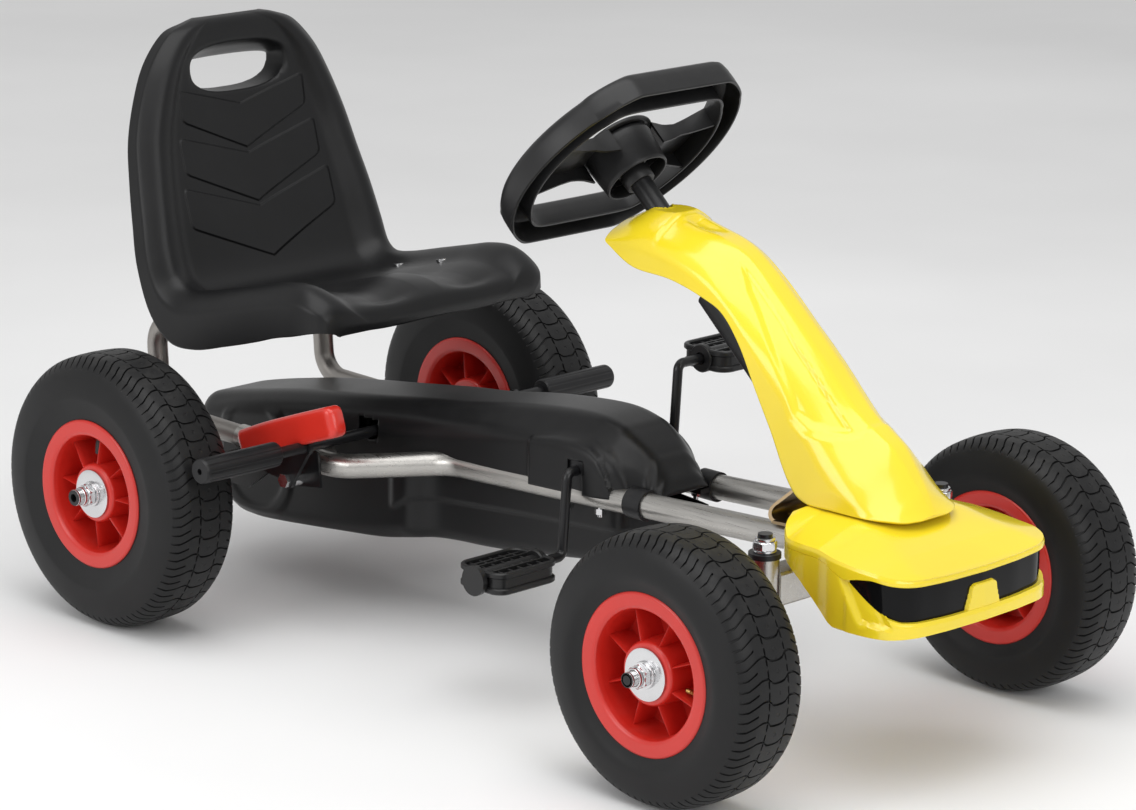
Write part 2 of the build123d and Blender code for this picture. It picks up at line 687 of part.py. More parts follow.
DROP_T = 6.0
arm_top = on_column(COLUMN_LENGTH - 4)
drop_line = [arm_top, (DROP_TIP_Y - 8, DROP_TIP_Z + 12), (DROP_TIP_Y, DROP_TIP_Z)]
with BuildPart() as steering_column:
    add(column_disc(COLUMN_R, COLUMN_LENGTH, COLUMN_LENGTH - 14))
    add(column_disc(COLUMN_R - 2, COLUMN_LENGTH + 1, COLUMN_LENGTH - 60), mode=Mode.SUBTRACT)
    add(yz_prism(strip(drop_line, 14), DROP_T / 2))
    with BuildSketch(Plane.XY.offset(DROP_TIP_Z - 2)):
        with Locations((0, DROP_TIP_Y)):
            SlotOverall(2 * DROP_PIN_X + 18, 18)
    extrude(amount=4)
save(steering_column.part, "steering_column")

# Knuckle: a bar bent to an L, its upright leg the kingpin and its level leg the wheel's axle, with
# a welded steering arm.
knuckle_top = kingpin_top + BUSH_FLANGE_T + 18
axle_end_x = FRONT_HALF_TRACK + RIM_HALF_WIDTH + AXLE_STICK_OUT
KNUCKLE_BEND_R = 20.0
COLLAR_T = 3.0
ARM_T = 5.0
arm_z = SLEEVE_BOTTOM_Z - BUSH_FLANGE_T - COLLAR_T
with BuildPart() as left_knuckle:
    add(bent_tube([(KINGPIN_X, beam_y, knuckle_top), (KINGPIN_X, beam_y, FRONT_TYRE_R),
                   (axle_end_x, beam_y, FRONT_TYRE_R)], AXLE_R, 0, KNUCKLE_BEND_R))
    with BuildSketch(Plane.XY.offset(arm_z - ARM_T + COLLAR_T - SEAT_GAP)):
        with BuildLine():
            Polyline((KINGPIN_X - 12, beam_y), (TIE_END_X - 9, TIE_END_Y), (TIE_END_X + 9, TIE_END_Y),
                     (KINGPIN_X + 12, beam_y), close=True)
        make_face()
        with Locations((KINGPIN_X, beam_y)):
            Circle(14)
        with Locations((TIE_END_X, TIE_END_Y)):
            Circle(9)
    extrude(amount=ARM_T)
    add(x_rod(11, FRONT_HALF_TRACK - RIM_HALF_WIDTH - 6,
              FRONT_HALF_TRACK - RIM_HALF_WIDTH + RIM_BOSS_INSET - SEAT_GAP, beam_y, FRONT_TYRE_R))
    add(z_rod(3.2, TIE_END_X, TIE_END_Y, arm_z - 12, arm_z + 12), mode=Mode.SUBTRACT)
save(left_knuckle.part, "left_knuckle")
save(mirrored(left_knuckle.part), "right_knuckle")

# Tie rod: its outer eye turns on a pin under the steering arm, its inner ball stud sits below the
# drop arm.
TIE_PIN_R = 3.0
EYE_R = 8.0
EYE_T = 9.6
arm_low = arm_z - ARM_T + COLLAR_T - SEAT_GAP
tie_inner_z = DROP_TIP_Z - 2 - 3.5 - 4
eye_top = arm_low - SEAT_GAP
with BuildPart() as left_tie_rod:
    add(z_rod(EYE_R, TIE_END_X, TIE_END_Y, eye_top - EYE_T, eye_top))
    add(z_rod(EYE_R, DROP_PIN_X, DROP_TIP_Y, tie_inner_z - 3, tie_inner_z + 4))
    tie_from = Vector(TIE_END_X, TIE_END_Y, eye_top - EYE_T + 3.4)
    tie_to = Vector(DROP_PIN_X, DROP_TIP_Y, tie_inner_z)
    with BuildSketch(Plane(tie_from, z_dir=tie_to - tie_from)):
        Circle(TIE_R - 0.6)
    extrude(amount=(tie_to - tie_from).length)
    add(z_rod(TIE_PIN_R + RUN_FIT, TIE_END_X, TIE_END_Y, eye_top - 12, eye_top + 6),
        mode=Mode.SUBTRACT)
save(left_tie_rod.part, "left_tie_rod")
save(mirrored(left_tie_rod.part), "right_tie_rod")

# Nuts of one front corner: the kingpin's, the wheel's with its washer, and the tie rod's pin.
NUT_FLATS = 21.0
WASHER_R = 25.0
WASHER_T = 2.0
boss_face_front = FRONT_HALF_TRACK + RIM_HALF_WIDTH - RIM_BOSS_INSET
with BuildPart() as left_knuckle_nuts:
    nut_z = kingpin_top + BUSH_FLANGE_T + SEAT_GAP
    add(z_rod(11, KINGPIN_X, beam_y, nut_z, nut_z + 2))
    add(z_hexagon(NUT_FLATS, KINGPIN_X, beam_y, nut_z + 2, nut_z + 14))
    add(z_rod(KINGPIN_R, KINGPIN_X, beam_y, nut_z - 1, nut_z + 30), mode=Mode.SUBTRACT)
    washer_x = boss_face_front + SEAT_GAP
    add(x_rod(WASHER_R, washer_x, washer_x + WASHER_T, beam_y, FRONT_TYRE_R))
    add(x_rod(13, washer_x + WASHER_T, washer_x + WASHER_T + 3, beam_y, FRONT_TYRE_R))
    add(x_hexagon(NUT_FLATS, washer_x + WASHER_T + 3, washer_x + 15, beam_y, FRONT_TYRE_R))
    add(x_rod(9.5, washer_x + 15, washer_x + 19, beam_y, FRONT_TYRE_R))
    add(x_rod(AXLE_R, washer_x - 1, axle_end_x + 1, beam_y, FRONT_TYRE_R), mode=Mode.SUBTRACT)
    add(z_rod(TIE_PIN_R, TIE_END_X, TIE_END_Y, eye_top - EYE_T - 4, arm_low + ARM_T))
    add(z_hexagon(10, TIE_END_X, TIE_END_Y, eye_top - EYE_T - 5, eye_top - EYE_T - SEAT_GAP))
    add(z_rod(5, TIE_END_X, TIE_END_Y, arm_low + ARM_T, arm_low + ARM_T + 2.5))
save(left_knuckle_nuts.part, "left_knuckle_nuts")
save(mirrored(left_knuckle_nuts.part), "right_knuckle_nuts")

# Steering wheel: an open-backed rim, flattened at the top and the bottom, on two broad spokes and
# a deep hub.
HUB_R = 35.0
HUB_BOTTOM = -34.0
HUB_TOP = 8.0
CAP_R = 42.0
CAP_DEPTH = 6.0
with BuildPart() as steering_wheel:
    with BuildSketch(steer_plane):
        Circle(STEER_WHEEL_R)
        Rectangle(3 * STEER_WHEEL_R, 2 * STEER_WHEEL_FLAT, mode=Mode.INTERSECT)
        Circle(STEER_WHEEL_R - STEER_RIM_WIDTH, mode=Mode.SUBTRACT)
    extrude(amount=STEER_RIM_DEPTH / 2, both=True)
    with BuildSketch(steer_plane.offset(-STEER_RIM_DEPTH / 2)):
        Circle(STEER_WHEEL_R - 4)
        Rectangle(3 * STEER_WHEEL_R, 2 * STEER_WHEEL_FLAT - 8, mode=Mode.INTERSECT)
        Circle(STEER_WHEEL_R - STEER_RIM_WIDTH + 4, mode=Mode.SUBTRACT)
    extrude(amount=STEER_RIM_DEPTH - 5, mode=Mode.SUBTRACT)
    with BuildSketch(steer_plane.offset(-2)):
        Rectangle(2 * (STEER_WHEEL_R - STEER_RIM_WIDTH + 2), 62)
    extrude(amount=10)
    with BuildSketch(steer_plane.offset(HUB_BOTTOM)):
        Circle(HUB_R)
    extrude(amount=HUB_TOP - HUB_BOTTOM)
    with BuildSketch(steer_plane.offset(HUB_BOTTOM - 1)):
        Circle(HUB_R - 4)
        Circle(COLUMN_R + 4, mode=Mode.SUBTRACT)
    extrude(amount=HUB_TOP - HUB_BOTTOM - 5, mode=Mode.SUBTRACT)
    add(column_disc(COLUMN_R, 80, 66), mode=Mode.SUBTRACT)
save(steering_wheel.part, "steering_wheel")

with BuildPart() as wheel_cap:
    with BuildSketch(steer_plane.offset(HUB_TOP)):
        Circle(CAP_R)
    extrude(amount=CAP_DEPTH)
    fillet(wheel_cap.edges().filter_by(GeomType.CIRCLE).sort_by(Axis.Z)[-1], 2)
save(wheel_cap.part, "wheel_cap")


# ---- crank and pedals ---------------------------------------------------------------------------

pedal_dy = CRANK_THROW * sin(radians(CRANK_LEAN))
pedal_dz = CRANK_THROW * cos(radians(CRANK_LEAN))
right_pedal_y = CRANK_Y - pedal_dy
right_pedal_z = CRANK_Z - pedal_dz
SPINDLE_END_X = PEDAL_OUT_X + 3.0
with BuildPart() as crank:
    add(bent_tube([
        (-SPINDLE_END_X, right_pedal_y, right_pedal_z),
        (-CRANK_ARM_END_X, right_pedal_y, right_pedal_z),
        (-CRANK_ARM_TOP_X, CRANK_Y, CRANK_Z),
        (CRANK_ARM_TOP_X, CRANK_Y, CRANK_Z),
        (CRANK_ARM_END_X, CRANK_Y + pedal_dy, CRANK_Z + pedal_dz),
        (SPINDLE_END_X, CRANK_Y + pedal_dy, CRANK_Z + pedal_dz),
    ], CRANK_R, 0, 8))
save(crank.part, "crank")


def sprocket(teeth, bore, y, z):
    """Toothed disc with a clamping hub on each side, on the middle plane of the kart."""
    pitch_r = CHAIN_PITCH / (2 * sin(pi / teeth))
    with BuildPart() as disc:
        with BuildSketch(Plane.YZ.offset(-SPROCKET_T / 2)):
            with Locations((y, z)):
                Circle(pitch_r - 4)
                with PolarLocations(pitch_r - 1.9, teeth):
                    Rectangle(6.2, 4.6)
        extrude(amount=SPROCKET_T)
        add(x_rod(bore + 9, -10, 10, y, z))
        add(x_rod(bore, -11, 11, y, z), mode=Mode.SUBTRACT)
        with BuildSketch(Plane.YZ.offset(-SPROCKET_T)):
            with Locations((y, z)):
                with PolarLocations((pitch_r + bore + 5) / 2, 5):
                    Circle(5.5)
        extrude(amount=2 * SPROCKET_T, mode=Mode.SUBTRACT)
    return disc.part


save(sprocket(CRANK_TEETH, CRANK_R, CRANK_Y, CRANK_Z), "crank_sprocket")
save(sprocket(AXLE_TEETH, REAR_AXLE_R, REAR_AXLE_Y, REAR_TYRE_R), "axle_sprocket")

# Chain: one closed band with a groove for the sprockets, laid round both pitch circles.
crank_pitch_r = CHAIN_PITCH / (2 * sin(pi / CRANK_TEETH))
axle_pitch_r = CHAIN_PITCH / (2 * sin(pi / AXLE_TEETH))


def chain_loop(grow, half_width):
    """Stadium-like solid round both sprockets, larger than their pitch circles by grow."""
    span_y = REAR_AXLE_Y - CRANK_Y
    span_z = REAR_TYRE_R - CRANK_Z
    span = hypot(span_y, span_z)
    line = atan2(span_z, span_y)
    spread = asin((axle_pitch_r - crank_pitch_r) / span)
    corners = []
    for turn in (line + pi / 2 + spread, line - pi / 2 - spread):
        for y, z, radius in (
            (CRANK_Y, CRANK_Z, crank_pitch_r + grow),
            (REAR_AXLE_Y, REAR_TYRE_R, axle_pitch_r + grow),
        ):
            corners.append((y + radius * cos(turn), z + radius * sin(turn)))
    with BuildPart() as loop:
        add(x_rod(crank_pitch_r + grow, -half_width, half_width, CRANK_Y, CRANK_Z))
        add(x_rod(axle_pitch_r + grow, -half_width, half_width, REAR_AXLE_Y, REAR_TYRE_R))
        add(yz_prism([corners[0], corners[1], corners[3], corners[2]], half_width))
    return loop.part


with BuildPart() as chain:
    add(chain_loop(CHAIN_HEIGHT / 2, CHAIN_WIDTH / 2))
    add(chain_loop(-CHAIN_HEIGHT / 2, CHAIN_WIDTH), mode=Mode.SUBTRACT)
    add(chain_loop(CHAIN_HEIGHT / 2 - 1, SPROCKET_T / 2 + 0.5), mode=Mode.SUBTRACT)
save(chain.part, "chain")

# Crank bearings: split blocks bolted through the rails.
BLOCK_X = 24.0
BLOCK_Y = 62.0
BLOCK_TOP_Z = CRANK_Z + 10
with BuildPart() as crank_blocks:
    for side in (-1, 1):
        for low, high in ((CRANK_Z - 20, CRANK_Z - 0.1), (CRANK_Z + 0.1, BLOCK_TOP_Z)):
            with BuildSketch(Plane.XY.offset(low)):
                with Locations((side * RAIL_X, CRANK_Y)):
                    RectangleRounded(BLOCK_X, BLOCK_Y, 3)
            extrude(amount=high - low)
    add(x_rod(CRANK_R + RUN_FIT, -100, 100, CRANK_Y, CRANK_Z), mode=Mode.SUBTRACT)
    for side in (-1, 1):
        for bolt_y in (CRANK_Y - BLOCK_BOLT_Y, CRANK_Y + BLOCK_BOLT_Y):
            add(z_rod(BLOCK_BOLT_R + BOLT_FIT, side * RAIL_X, bolt_y, 100, 260), mode=Mode.SUBTRACT)
    add(left_rail_body, mode=Mode.SUBTRACT)
    add(mirrored(left_rail_body), mode=Mode.SUBTRACT)
save(crank_blocks.part, "crank_blocks")

CLAMP_T = 2.5
CLAMP_HALF_LENGTH = 11.0
clamp_z = rail_z(CLAMP_Y)
with BuildPart() as frame_bolts:
    for side in (-1, 1):
        for bolt_y in (CRANK_Y - BLOCK_BOLT_Y, CRANK_Y + BLOCK_BOLT_Y):
            under = rail_z(bolt_y) - RAIL_R
            add(z_rod(BLOCK_BOLT_R, side * RAIL_X, bolt_y, under - 9, BLOCK_TOP_Z + 1))
            add(z_hexagon(10, side * RAIL_X, bolt_y, BLOCK_TOP_Z, BLOCK_TOP_Z + 4))
            add(z_hexagon(10, side * RAIL_X, bolt_y, under - 6, under - SEAT_GAP))
        screw_top = bracket_z + BRACKET_T / 2
        add(z_rod(SCREW_R, side * RAIL_X, bracket_screw_y, screw_top - 13, screw_top + 1))
        add(z_rod(6, side * RAIL_X, bracket_screw_y, screw_top + 0.4, screw_top + 3))
        add(z_rod(SCREW_R, side * CLAMP_BOLT_X, CLAMP_Y, clamp_z - 12, clamp_z + 8))
        add(z_rod(5, side * CLAMP_BOLT_X, CLAMP_Y, clamp_z + CLAMP_T, clamp_z + CLAMP_T + 3))
        add(z_hexagon(8, side * CLAMP_BOLT_X, CLAMP_Y, clamp_z - CLAMP_T - 4, clamp_z - CLAMP_T))
        add(z_rod(NOSE_SCREW_R, side * NOSE_POST_X, beam_y, beam_bottom, beam_top + 22))
        add(z_rod(5.5, side * NOSE_POST_X, beam_y, beam_bottom - 3.5, beam_bottom))
save(frame_bolts.part, "frame_bolts")

# Saddle straps round the rails in front of the chain guard, with an ear for its screw.
with BuildPart() as guard_clamps:
    for side in (-1, 1):
        with BuildSketch(Plane.XZ.offset(-CLAMP_Y - CLAMP_HALF_LENGTH)):
            with Locations((side * RAIL_X, clamp_z)):
                Circle(RAIL_R + CLAMP_T)
            with Locations((side * (CLAMP_BOLT_X + 4), clamp_z)):
                Rectangle(18, 2 * CLAMP_T)
        extrude(amount=2 * CLAMP_HALF_LENGTH)
        add(z_rod(SCREW_R + BOLT_FIT, side * CLAMP_BOLT_X, CLAMP_Y, clamp_z - 10, clamp_z + 10),
            mode=Mode.SUBTRACT)
    add(left_rail_body, mode=Mode.SUBTRACT)
    add(mirrored(left_rail_body), mode=Mode.SUBTRACT)
save(guard_clamps.part, "guard_clamps")

# Pedal: a moulded block on the spindle with a rim round its top and bottom, a waist between them,
# two open windows and cross ribs.
PEDAL_FRAME_T = 6.0
PEDAL_RIM_T = 5.0
PEDAL_WAIST = 4.0
PEDAL_CORNER_R = 16.0
PEDAL_RIB_T = 3.5
PEDAL_BOSS_R = 9.0
pedal_length = PEDAL_OUT_X - PEDAL_IN_X
pedal_mid_x = (PEDAL_OUT_X + PEDAL_IN_X) / 2
frame_in = PEDAL_WAIST + PEDAL_FRAME_T
window_width = PEDAL_WIDTH / 2 - frame_in - PEDAL_BOSS_R
window_y = PEDAL_BOSS_R + window_width / 2
window_length = pedal_length - 2 * frame_in
with BuildPart() as pedal:
    with BuildSketch(Plane.XY.offset(-PEDAL_HEIGHT / 2)):
        RectangleRounded(pedal_length - 2 * PEDAL_WAIST, PEDAL_WIDTH - 2 * PEDAL_WAIST,
                         PEDAL_CORNER_R - PEDAL_WAIST)
    extrude(amount=PEDAL_HEIGHT)
    for rim_z in (-PEDAL_HEIGHT / 2, PEDAL_HEIGHT / 2 - PEDAL_RIM_T):
        with BuildSketch(Plane.XY.offset(rim_z)):
            RectangleRounded(pedal_length, PEDAL_WIDTH, PEDAL_CORNER_R)
        extrude(amount=PEDAL_RIM_T)
    with BuildSketch(Plane.XY.offset(-PEDAL_HEIGHT)):
        with GridLocations(0, 2 * window_y, 1, 2):
            RectangleRounded(window_length, window_width, 4)
        with GridLocations(window_length / 3, 2 * window_y, 2, 2):
            Rectangle(PEDAL_RIB_T, window_width + 2, mode=Mode.SUBTRACT)
    extrude(amount=2 * PEDAL_HEIGHT, mode=Mode.SUBTRACT)
    add(x_rod(PEDAL_BOSS_R + 2, -pedal_length / 2, pedal_length / 2, 0, 0))
    add(x_rod(CRANK_R + RUN_FIT, -pedal_length, pedal_length, 0, 0), mode=Mode.SUBTRACT)
CAP_T = 3.0
PEDAL_CAP_R = 15.0
with BuildPart() as pedal_cap:
    add(x_rod(PEDAL_CAP_R, PEDAL_OUT_X + SEAT_GAP, SPINDLE_END_X + CAP_T, 0, 0))
    add(x_rod(CRANK_R, PEDAL_OUT_X, SPINDLE_END_X, 0, 0), mode=Mode.SUBTRACT)
for name, side in (("right", -1), ("left", 1)):
    pedal_y = CRANK_Y + side * pedal_dy
    pedal_z = CRANK_Z + side * pedal_dz
    save(Pos(side * pedal_mid_x, pedal_y, pedal_z) * pedal.part, f"{name}_pedal")
left_cap = Pos(0, CRANK_Y + pedal_dy, CRANK_Z + pedal_dz) * pedal_cap.part
right_cap = Pos(0, CRANK_Y - pedal_dy, CRANK_Z - pedal_dz) * mirrored(pedal_cap.part)
with BuildPart() as pedal_caps:
    add(left_cap)
    add(right_cap)
save(pedal_caps.part, "pedal_caps")


# ---- rear axle ----------------------------------------------------------------------------------

rear_end_x = REAR_HALF_TRACK + RIM_HALF_WIDTH + AXLE_STICK_OUT
SHOULDER_R = REAR_AXLE_R + 3
shoulder_in_x = HANGER_X + HANGER_T + 1
shoulder_out_x = REAR_HALF_TRACK - RIM_HALF_WIDTH + RIM_BOSS_INSET - SEAT_GAP
END_BORE_R = 4.5
with BuildPart() as rear_axle:
    add(x_rod(REAR_AXLE_R, -rear_end_x, rear_end_x, REAR_AXLE_Y, REAR_TYRE_R))
    for side in (-1, 1):
        add(x_rod(SHOULDER_R, side * shoulder_in_x, side * shoulder_out_x, REAR_AXLE_Y, REAR_TYRE_R))
        add(x_rod(END_BORE_R, side * (rear_end_x - 14), side * (rear_end_x + 1), REAR_AXLE_Y,
                  REAR_TYRE_R), mode=Mode.SUBTRACT)
save(rear_axle.part, "rear_axle")

boss_face_rear = REAR_HALF_TRACK + RIM_HALF_WIDTH - RIM_BOSS_INSET
with BuildPart() as left_axle_nut:
    rear_washer_x = boss_face_rear + SEAT_GAP
    add(x_rod(WASHER_R, rear_washer_x, rear_washer_x + WASHER_T, REAR_AXLE_Y, REAR_TYRE_R))
    add(x_rod(13, rear_washer_x + WASHER_T, rear_washer_x + WASHER_T + 3, REAR_AXLE_Y, REAR_TYRE_R))
    add(x_hexagon(NUT_FLATS, rear_washer_x + WASHER_T + 3, rear_washer_x + 15, REAR_AXLE_Y,
                  REAR_TYRE_R))
    add(x_rod(10, rear_washer_x + 15, rear_washer_x + 19, REAR_AXLE_Y, REAR_TYRE_R))
    add(x_rod(REAR_AXLE_R, rear_washer_x - 1, rear_end_x + 1, REAR_AXLE_Y, REAR_TYRE_R),
        mode=Mode.SUBTRACT)
with BuildPart() as rear_axle_nuts:
    add(left_axle_nut.part)
    add(mirrored(left_axle_nut.part))
save(rear_axle_nuts.part, "rear_axle_nuts")


# ---- brake --------------------------------------------------------------------------------------

BRAKE_ARM_X = 150.0
BRAKE_EAR_T = 3.0
BRAKE_EAR = [(-30, -6), (-26, 30), (0, 36), (38, 22), (58, 10), (56, -6), (8, -11)]
arm_in_x = BRAKE_ARM_X - BRAKE_ARM_T / 2
arm_out_x = BRAKE_ARM_X + BRAKE_ARM_T / 2
with BuildPart() as left_brake_bracket:
    with BuildSketch(Plane.YZ.offset(RAIL_FLARE_X + RAIL_R)):
        with BuildLine():
            Polyline(*[(BRAKE_PIVOT_Y + ahead, BRAKE_PIVOT_Z + up) for ahead, up in BRAKE_EAR], close=True)
        make_face()
    extrude(amount=BRAKE_EAR_T)
    add(x_rod(BRAKE_PIN_R + BOLT_FIT, 100, 160, BRAKE_PIVOT_Y, BRAKE_PIVOT_Z), mode=Mode.SUBTRACT)
with BuildPart() as brake_brackets:
    add(left_brake_bracket.part)
    add(mirrored(left_brake_bracket.part))
save(brake_brackets.part, "brake_brackets")

ear_out_x = RAIL_FLARE_X + RAIL_R + BRAKE_EAR_T
with BuildPart() as left_brake_pin:
    add(x_rod(BRAKE_PIN_R, ear_out_x - 2, arm_out_x + 6, BRAKE_PIVOT_Y, BRAKE_PIVOT_Z))
    add(x_rod(8, ear_out_x, arm_in_x - SEAT_GAP, BRAKE_PIVOT_Y, BRAKE_PIVOT_Z))
    add(x_hexagon(13, arm_out_x + SEAT_GAP, arm_out_x + 6, BRAKE_PIVOT_Y, BRAKE_PIVOT_Z))
with BuildPart() as brake_pins:
    add(left_brake_pin.part)
    add(mirrored(left_brake_pin.part))
save(brake_pins.part, "brake_pins")

HANDLE_ARM_TIP = (BRAKE_BAR_Y + 10.0, BRAKE_BAR_Z + 20.0)
arm_outline = [(BRAKE_PIVOT_Y, BRAKE_PIVOT_Z), (BRAKE_BAR_Y, BRAKE_BAR_Z)]
with BuildPart() as brake_lever:
    add(x_rod(BRAKE_BAR_R, -BRAKE_SLEEVE_OUT_X, BRAKE_SLEEVE_OUT_X, BRAKE_BAR_Y, BRAKE_BAR_Z))
    for side in (-1, 1):
        with BuildSketch(Plane.YZ.offset(side * arm_in_x)):
            with BuildLine():
                Polyline(*strip(arm_outline, 16), close=True)
            make_face()
            for y, z in arm_outline:
                with Locations((y, z)):
                    Circle(9)
        extrude(amount=side * BRAKE_ARM_T)
    with BuildSketch(Plane.YZ.offset(-arm_in_x)):
        with BuildLine():
            Polyline(*strip([(BRAKE_BAR_Y, BRAKE_BAR_Z), HANDLE_ARM_TIP], 16), close=True)
        make_face()
    extrude(amount=-BRAKE_ARM_T)
    for side in (-1, 1):
        add(x_rod(BRAKE_PIN_R + RUN_FIT, side * (arm_in_x - 1), side * (arm_out_x + 1), BRAKE_PIVOT_Y,
                  BRAKE_PIVOT_Z), mode=Mode.SUBTRACT)
save(brake_lever.part, "brake_lever")

HANDLE_HEIGHT = 29.0
HANDLE_HALF_WIDTH = 11.0
HANDLE_FROM_BAR = [(94, -14), (54, 3), (0, 23), (-51, 41)]
handle_line = [(BRAKE_BAR_Y + ahead, BRAKE_BAR_Z + up) for ahead, up in HANDLE_FROM_BAR]
with BuildPart() as brake_handle:
    with BuildSketch(Plane.YZ.offset(-BRAKE_ARM_X - HANDLE_HALF_WIDTH)):
        with BuildLine():
            Polyline(*strip(handle_line, HANDLE_HEIGHT), close=True)
        make_face()
    extrude(amount=2 * HANDLE_HALF_WIDTH)
    add(brake_lever.part, mode=Mode.SUBTRACT)
save(brake_handle.part, "brake_handle")

with BuildPart() as brake_sleeves:
    for side in (-1, 1):
        add(x_rod(BRAKE_SLEEVE_R, side * BRAKE_SLEEVE_IN_X, side * (BRAKE_SLEEVE_OUT_X + 4), BRAKE_BAR_Y,
                  BRAKE_BAR_Z))
    add(x_rod(BRAKE_BAR_R, -BRAKE_SLEEVE_OUT_X, BRAKE_SLEEVE_OUT_X, BRAKE_BAR_Y, BRAKE_BAR_Z),
        mode=Mode.SUBTRACT)
save(brake_sleeves.part, "brake_sleeves")


# ---- chain guard --------------------------------------------------------------------------------

left_rail_clear = bent_tube(rail_route, RAIL_R + 0.4, 0, BEND_R)
upper_stations = [
    (527, 173, 523, 152, 50, 52, 8, 10, 0, 0),
    (446, 198, 440, 120, 58, 58, 16, 20, 0, 0),
    (366, 213, 366, 130, 58, 58, 16, 20, 0, 0),
    (257, 228, 257, 150, 58, 58, 16, 20, 0, 0),
    (180, 239, 180, 168, 58, 58, 16, 20, 0, 0),
    (122, 246, 122, 185, 58, 58, 16, 20, 0, 0),
    (49, 258, 49, 189, 66.5, 66.5, 24, 28, 0, 0),
    (-22, 267, -22, 191, 66.5, 66.5, 24, 28, 0, 0),
    (-77, 267.5, -77, 194, 66.5, 66.5, 24, 28, 0, 0),
    (-119, 254, -119, 196, 66.5, 66.5, 24, 28, 0, 0),
    (-128, 246, -126, 200, 34.5, 34.5, 12, 20, 0, 0),
    (-147, 227, -147, 201, 34.5, 34.5, 12, 12, 0, 0),
    (-157, 208, -156, 202, 33, 34, 10, 4, 0, 0),
]
BAR_SLOT_Y = (BRAKE_BAR_Y - 10.0, BRAKE_BAR_Y + 21.0)
BAR_SLOT_Z = (BRAKE_BAR_Z - 9.0, BRAKE_BAR_Z + 14.0)


def guard_openings():
    """Room left in both chain covers for the brake bar, the cross tube, the crank and the rails."""
    with BuildPart() as openings:
        with BuildSketch(Plane.YZ):
            with Locations((sum(BAR_SLOT_Y) / 2, sum(BAR_SLOT_Z) / 2)):
                RectangleRounded(BAR_SLOT_Y[1] - BAR_SLOT_Y[0], BAR_SLOT_Z[1] - BAR_SLOT_Z[0], 8)
            with Locations((CROSS_Y, CROSS_Z)):
                Circle(CROSS_R + 0.5)
            with Locations((CRANK_Y, CRANK_Z)):
                Circle(CRANK_R + 3)
            with Locations((CRANK_Y, CRANK_Z - 20)):
                Rectangle(2 * CRANK_R + 6, 40)
            with Locations((REAR_AXLE_Y, REAR_TYRE_R)):
                Circle(REAR_AXLE_R + 3)
            with Locations((REAR_AXLE_Y, REAR_TYRE_R - 20)):
                Rectangle(2 * REAR_AXLE_R + 6, 40)
        extrude(amount=80, both=True)
        with BuildSketch(Plane.XZ.offset(-CLAMP_Y - CLAMP_HALF_LENGTH - 1)):
            for side in (-1, 1):
                with Locations((side * (CLAMP_BOLT_X + 4), clamp_z)):
                    Rectangle(20, 16)
        extrude(amount=2 * CLAMP_HALF_LENGTH + 2)
        add(left_rail_clear)
        add(mirrored(left_rail_clear))
    return openings.part


cover_openings = guard_openings()
with BuildPart() as chain_guard_upper:
    add(moulding(upper_stations, SHELL_WALL))
    add(cover_openings, mode=Mode.SUBTRACT)
save(chain_guard_upper.part, "chain_guard_upper")

lower_stations = [
    (-165, 130, -165, 186, 22, 22, 6, 6, 0, 0),
    (-110, 122, -110, 190, 22, 22, 6, 6, 0, 0),
    (-95, 120, -95, 192, 35, 35, 6, 6, 0, 0),
    (-41, 112, -41, 190, 35, 35, 6, 6, 0, 0),
    (73, 95, 73, 186, 35, 35, 6, 6, 0, 0),
    (122, 91, 122, 180, 35, 35, 6, 6, 0, 0),
    (150, 88, 150, 176, 38, 38, 6, 6, 0, 0),
    (182, 86, 182, 176, 54, 54, 8, 8, 0, 0),
    (241, 76, 241, 172, 54, 54, 8, 8, 0, 0),
    (300, 70, 300, 172, 54, 54, 8, 8, 0, 0),
    (396, 60, 396, 150, 54, 54, 8, 8, 0, 0),
    (461, 58, 461, 150, 54, 54, 8, 8, 0, 0),
    (490, 86, 500, 150, 48, 50, 8, 8, 0, 0),
]
with BuildPart() as chain_guard_lower:
    add(moulding(lower_stations, SHELL_WALL))
    add(cover_openings, mode=Mode.SUBTRACT)
save(chain_guard_lower.part, "chain_guard_lower")


# ---- tower and nose -----------------------------------------------------------------------------

tower_stations = [
    (-84, 466, -92, 447, 44, 47, 28, 12, 0, 0),
    (-130, 483, -126, 431, 48, 50, 32, 22, 0, 0),
    (-175, 475, -175, 427, 48, 50, 32, 24, 0, 0),
    (-223, 462, -216, 417, 48, 50, 32, 26, 0, 0),
    (-254, 442, -244, 405, 48, 50, 32, 26, 0, 0),
    (-284, 417, -267, 378, 48, 50, 32, 26, 0, 0),
    (-313, 392, -287, 342, 48, 50, 32, 26, 0, 0),
    (-344, 364, -313, 299, 49, 51, 32, 26, 0, 0),
    (-374, 333, -346, 250, 51, 55, 34, 26, 0, 0),
    (-386, 319, -361, 243.3, 52, 56, 35, 26, 0, 0),
    (-418, 303, -406, 243.3, 54, 57, 37, 26, 0, 0),
    (-440, 280, -438, 243.3, 48, 54, 34, 24, 0, 0),
    (-472, 248, -472, 243.3, 28, 34, 16, 3.2, 0, 0),
]
with BuildPart() as tower:
    add(moulding(tower_stations, COWL_WALL))
    add(column_disc(COLUMN_COVER_R + 3, 300, 290), mode=Mode.SUBTRACT)
save(tower.part, "tower")

with BuildPart() as column_cover:
    cover_length = COLUMN_BUSH_AT - BRACKET_T / 2 - 4 - SEAT_GAP - COLUMN_COVER_TOP
    add(column_disc(COLUMN_COVER_R, COLUMN_COVER_TOP + cover_length, cover_length, COLUMN_COVER_R - 3))
save(column_cover.part, "column_cover")

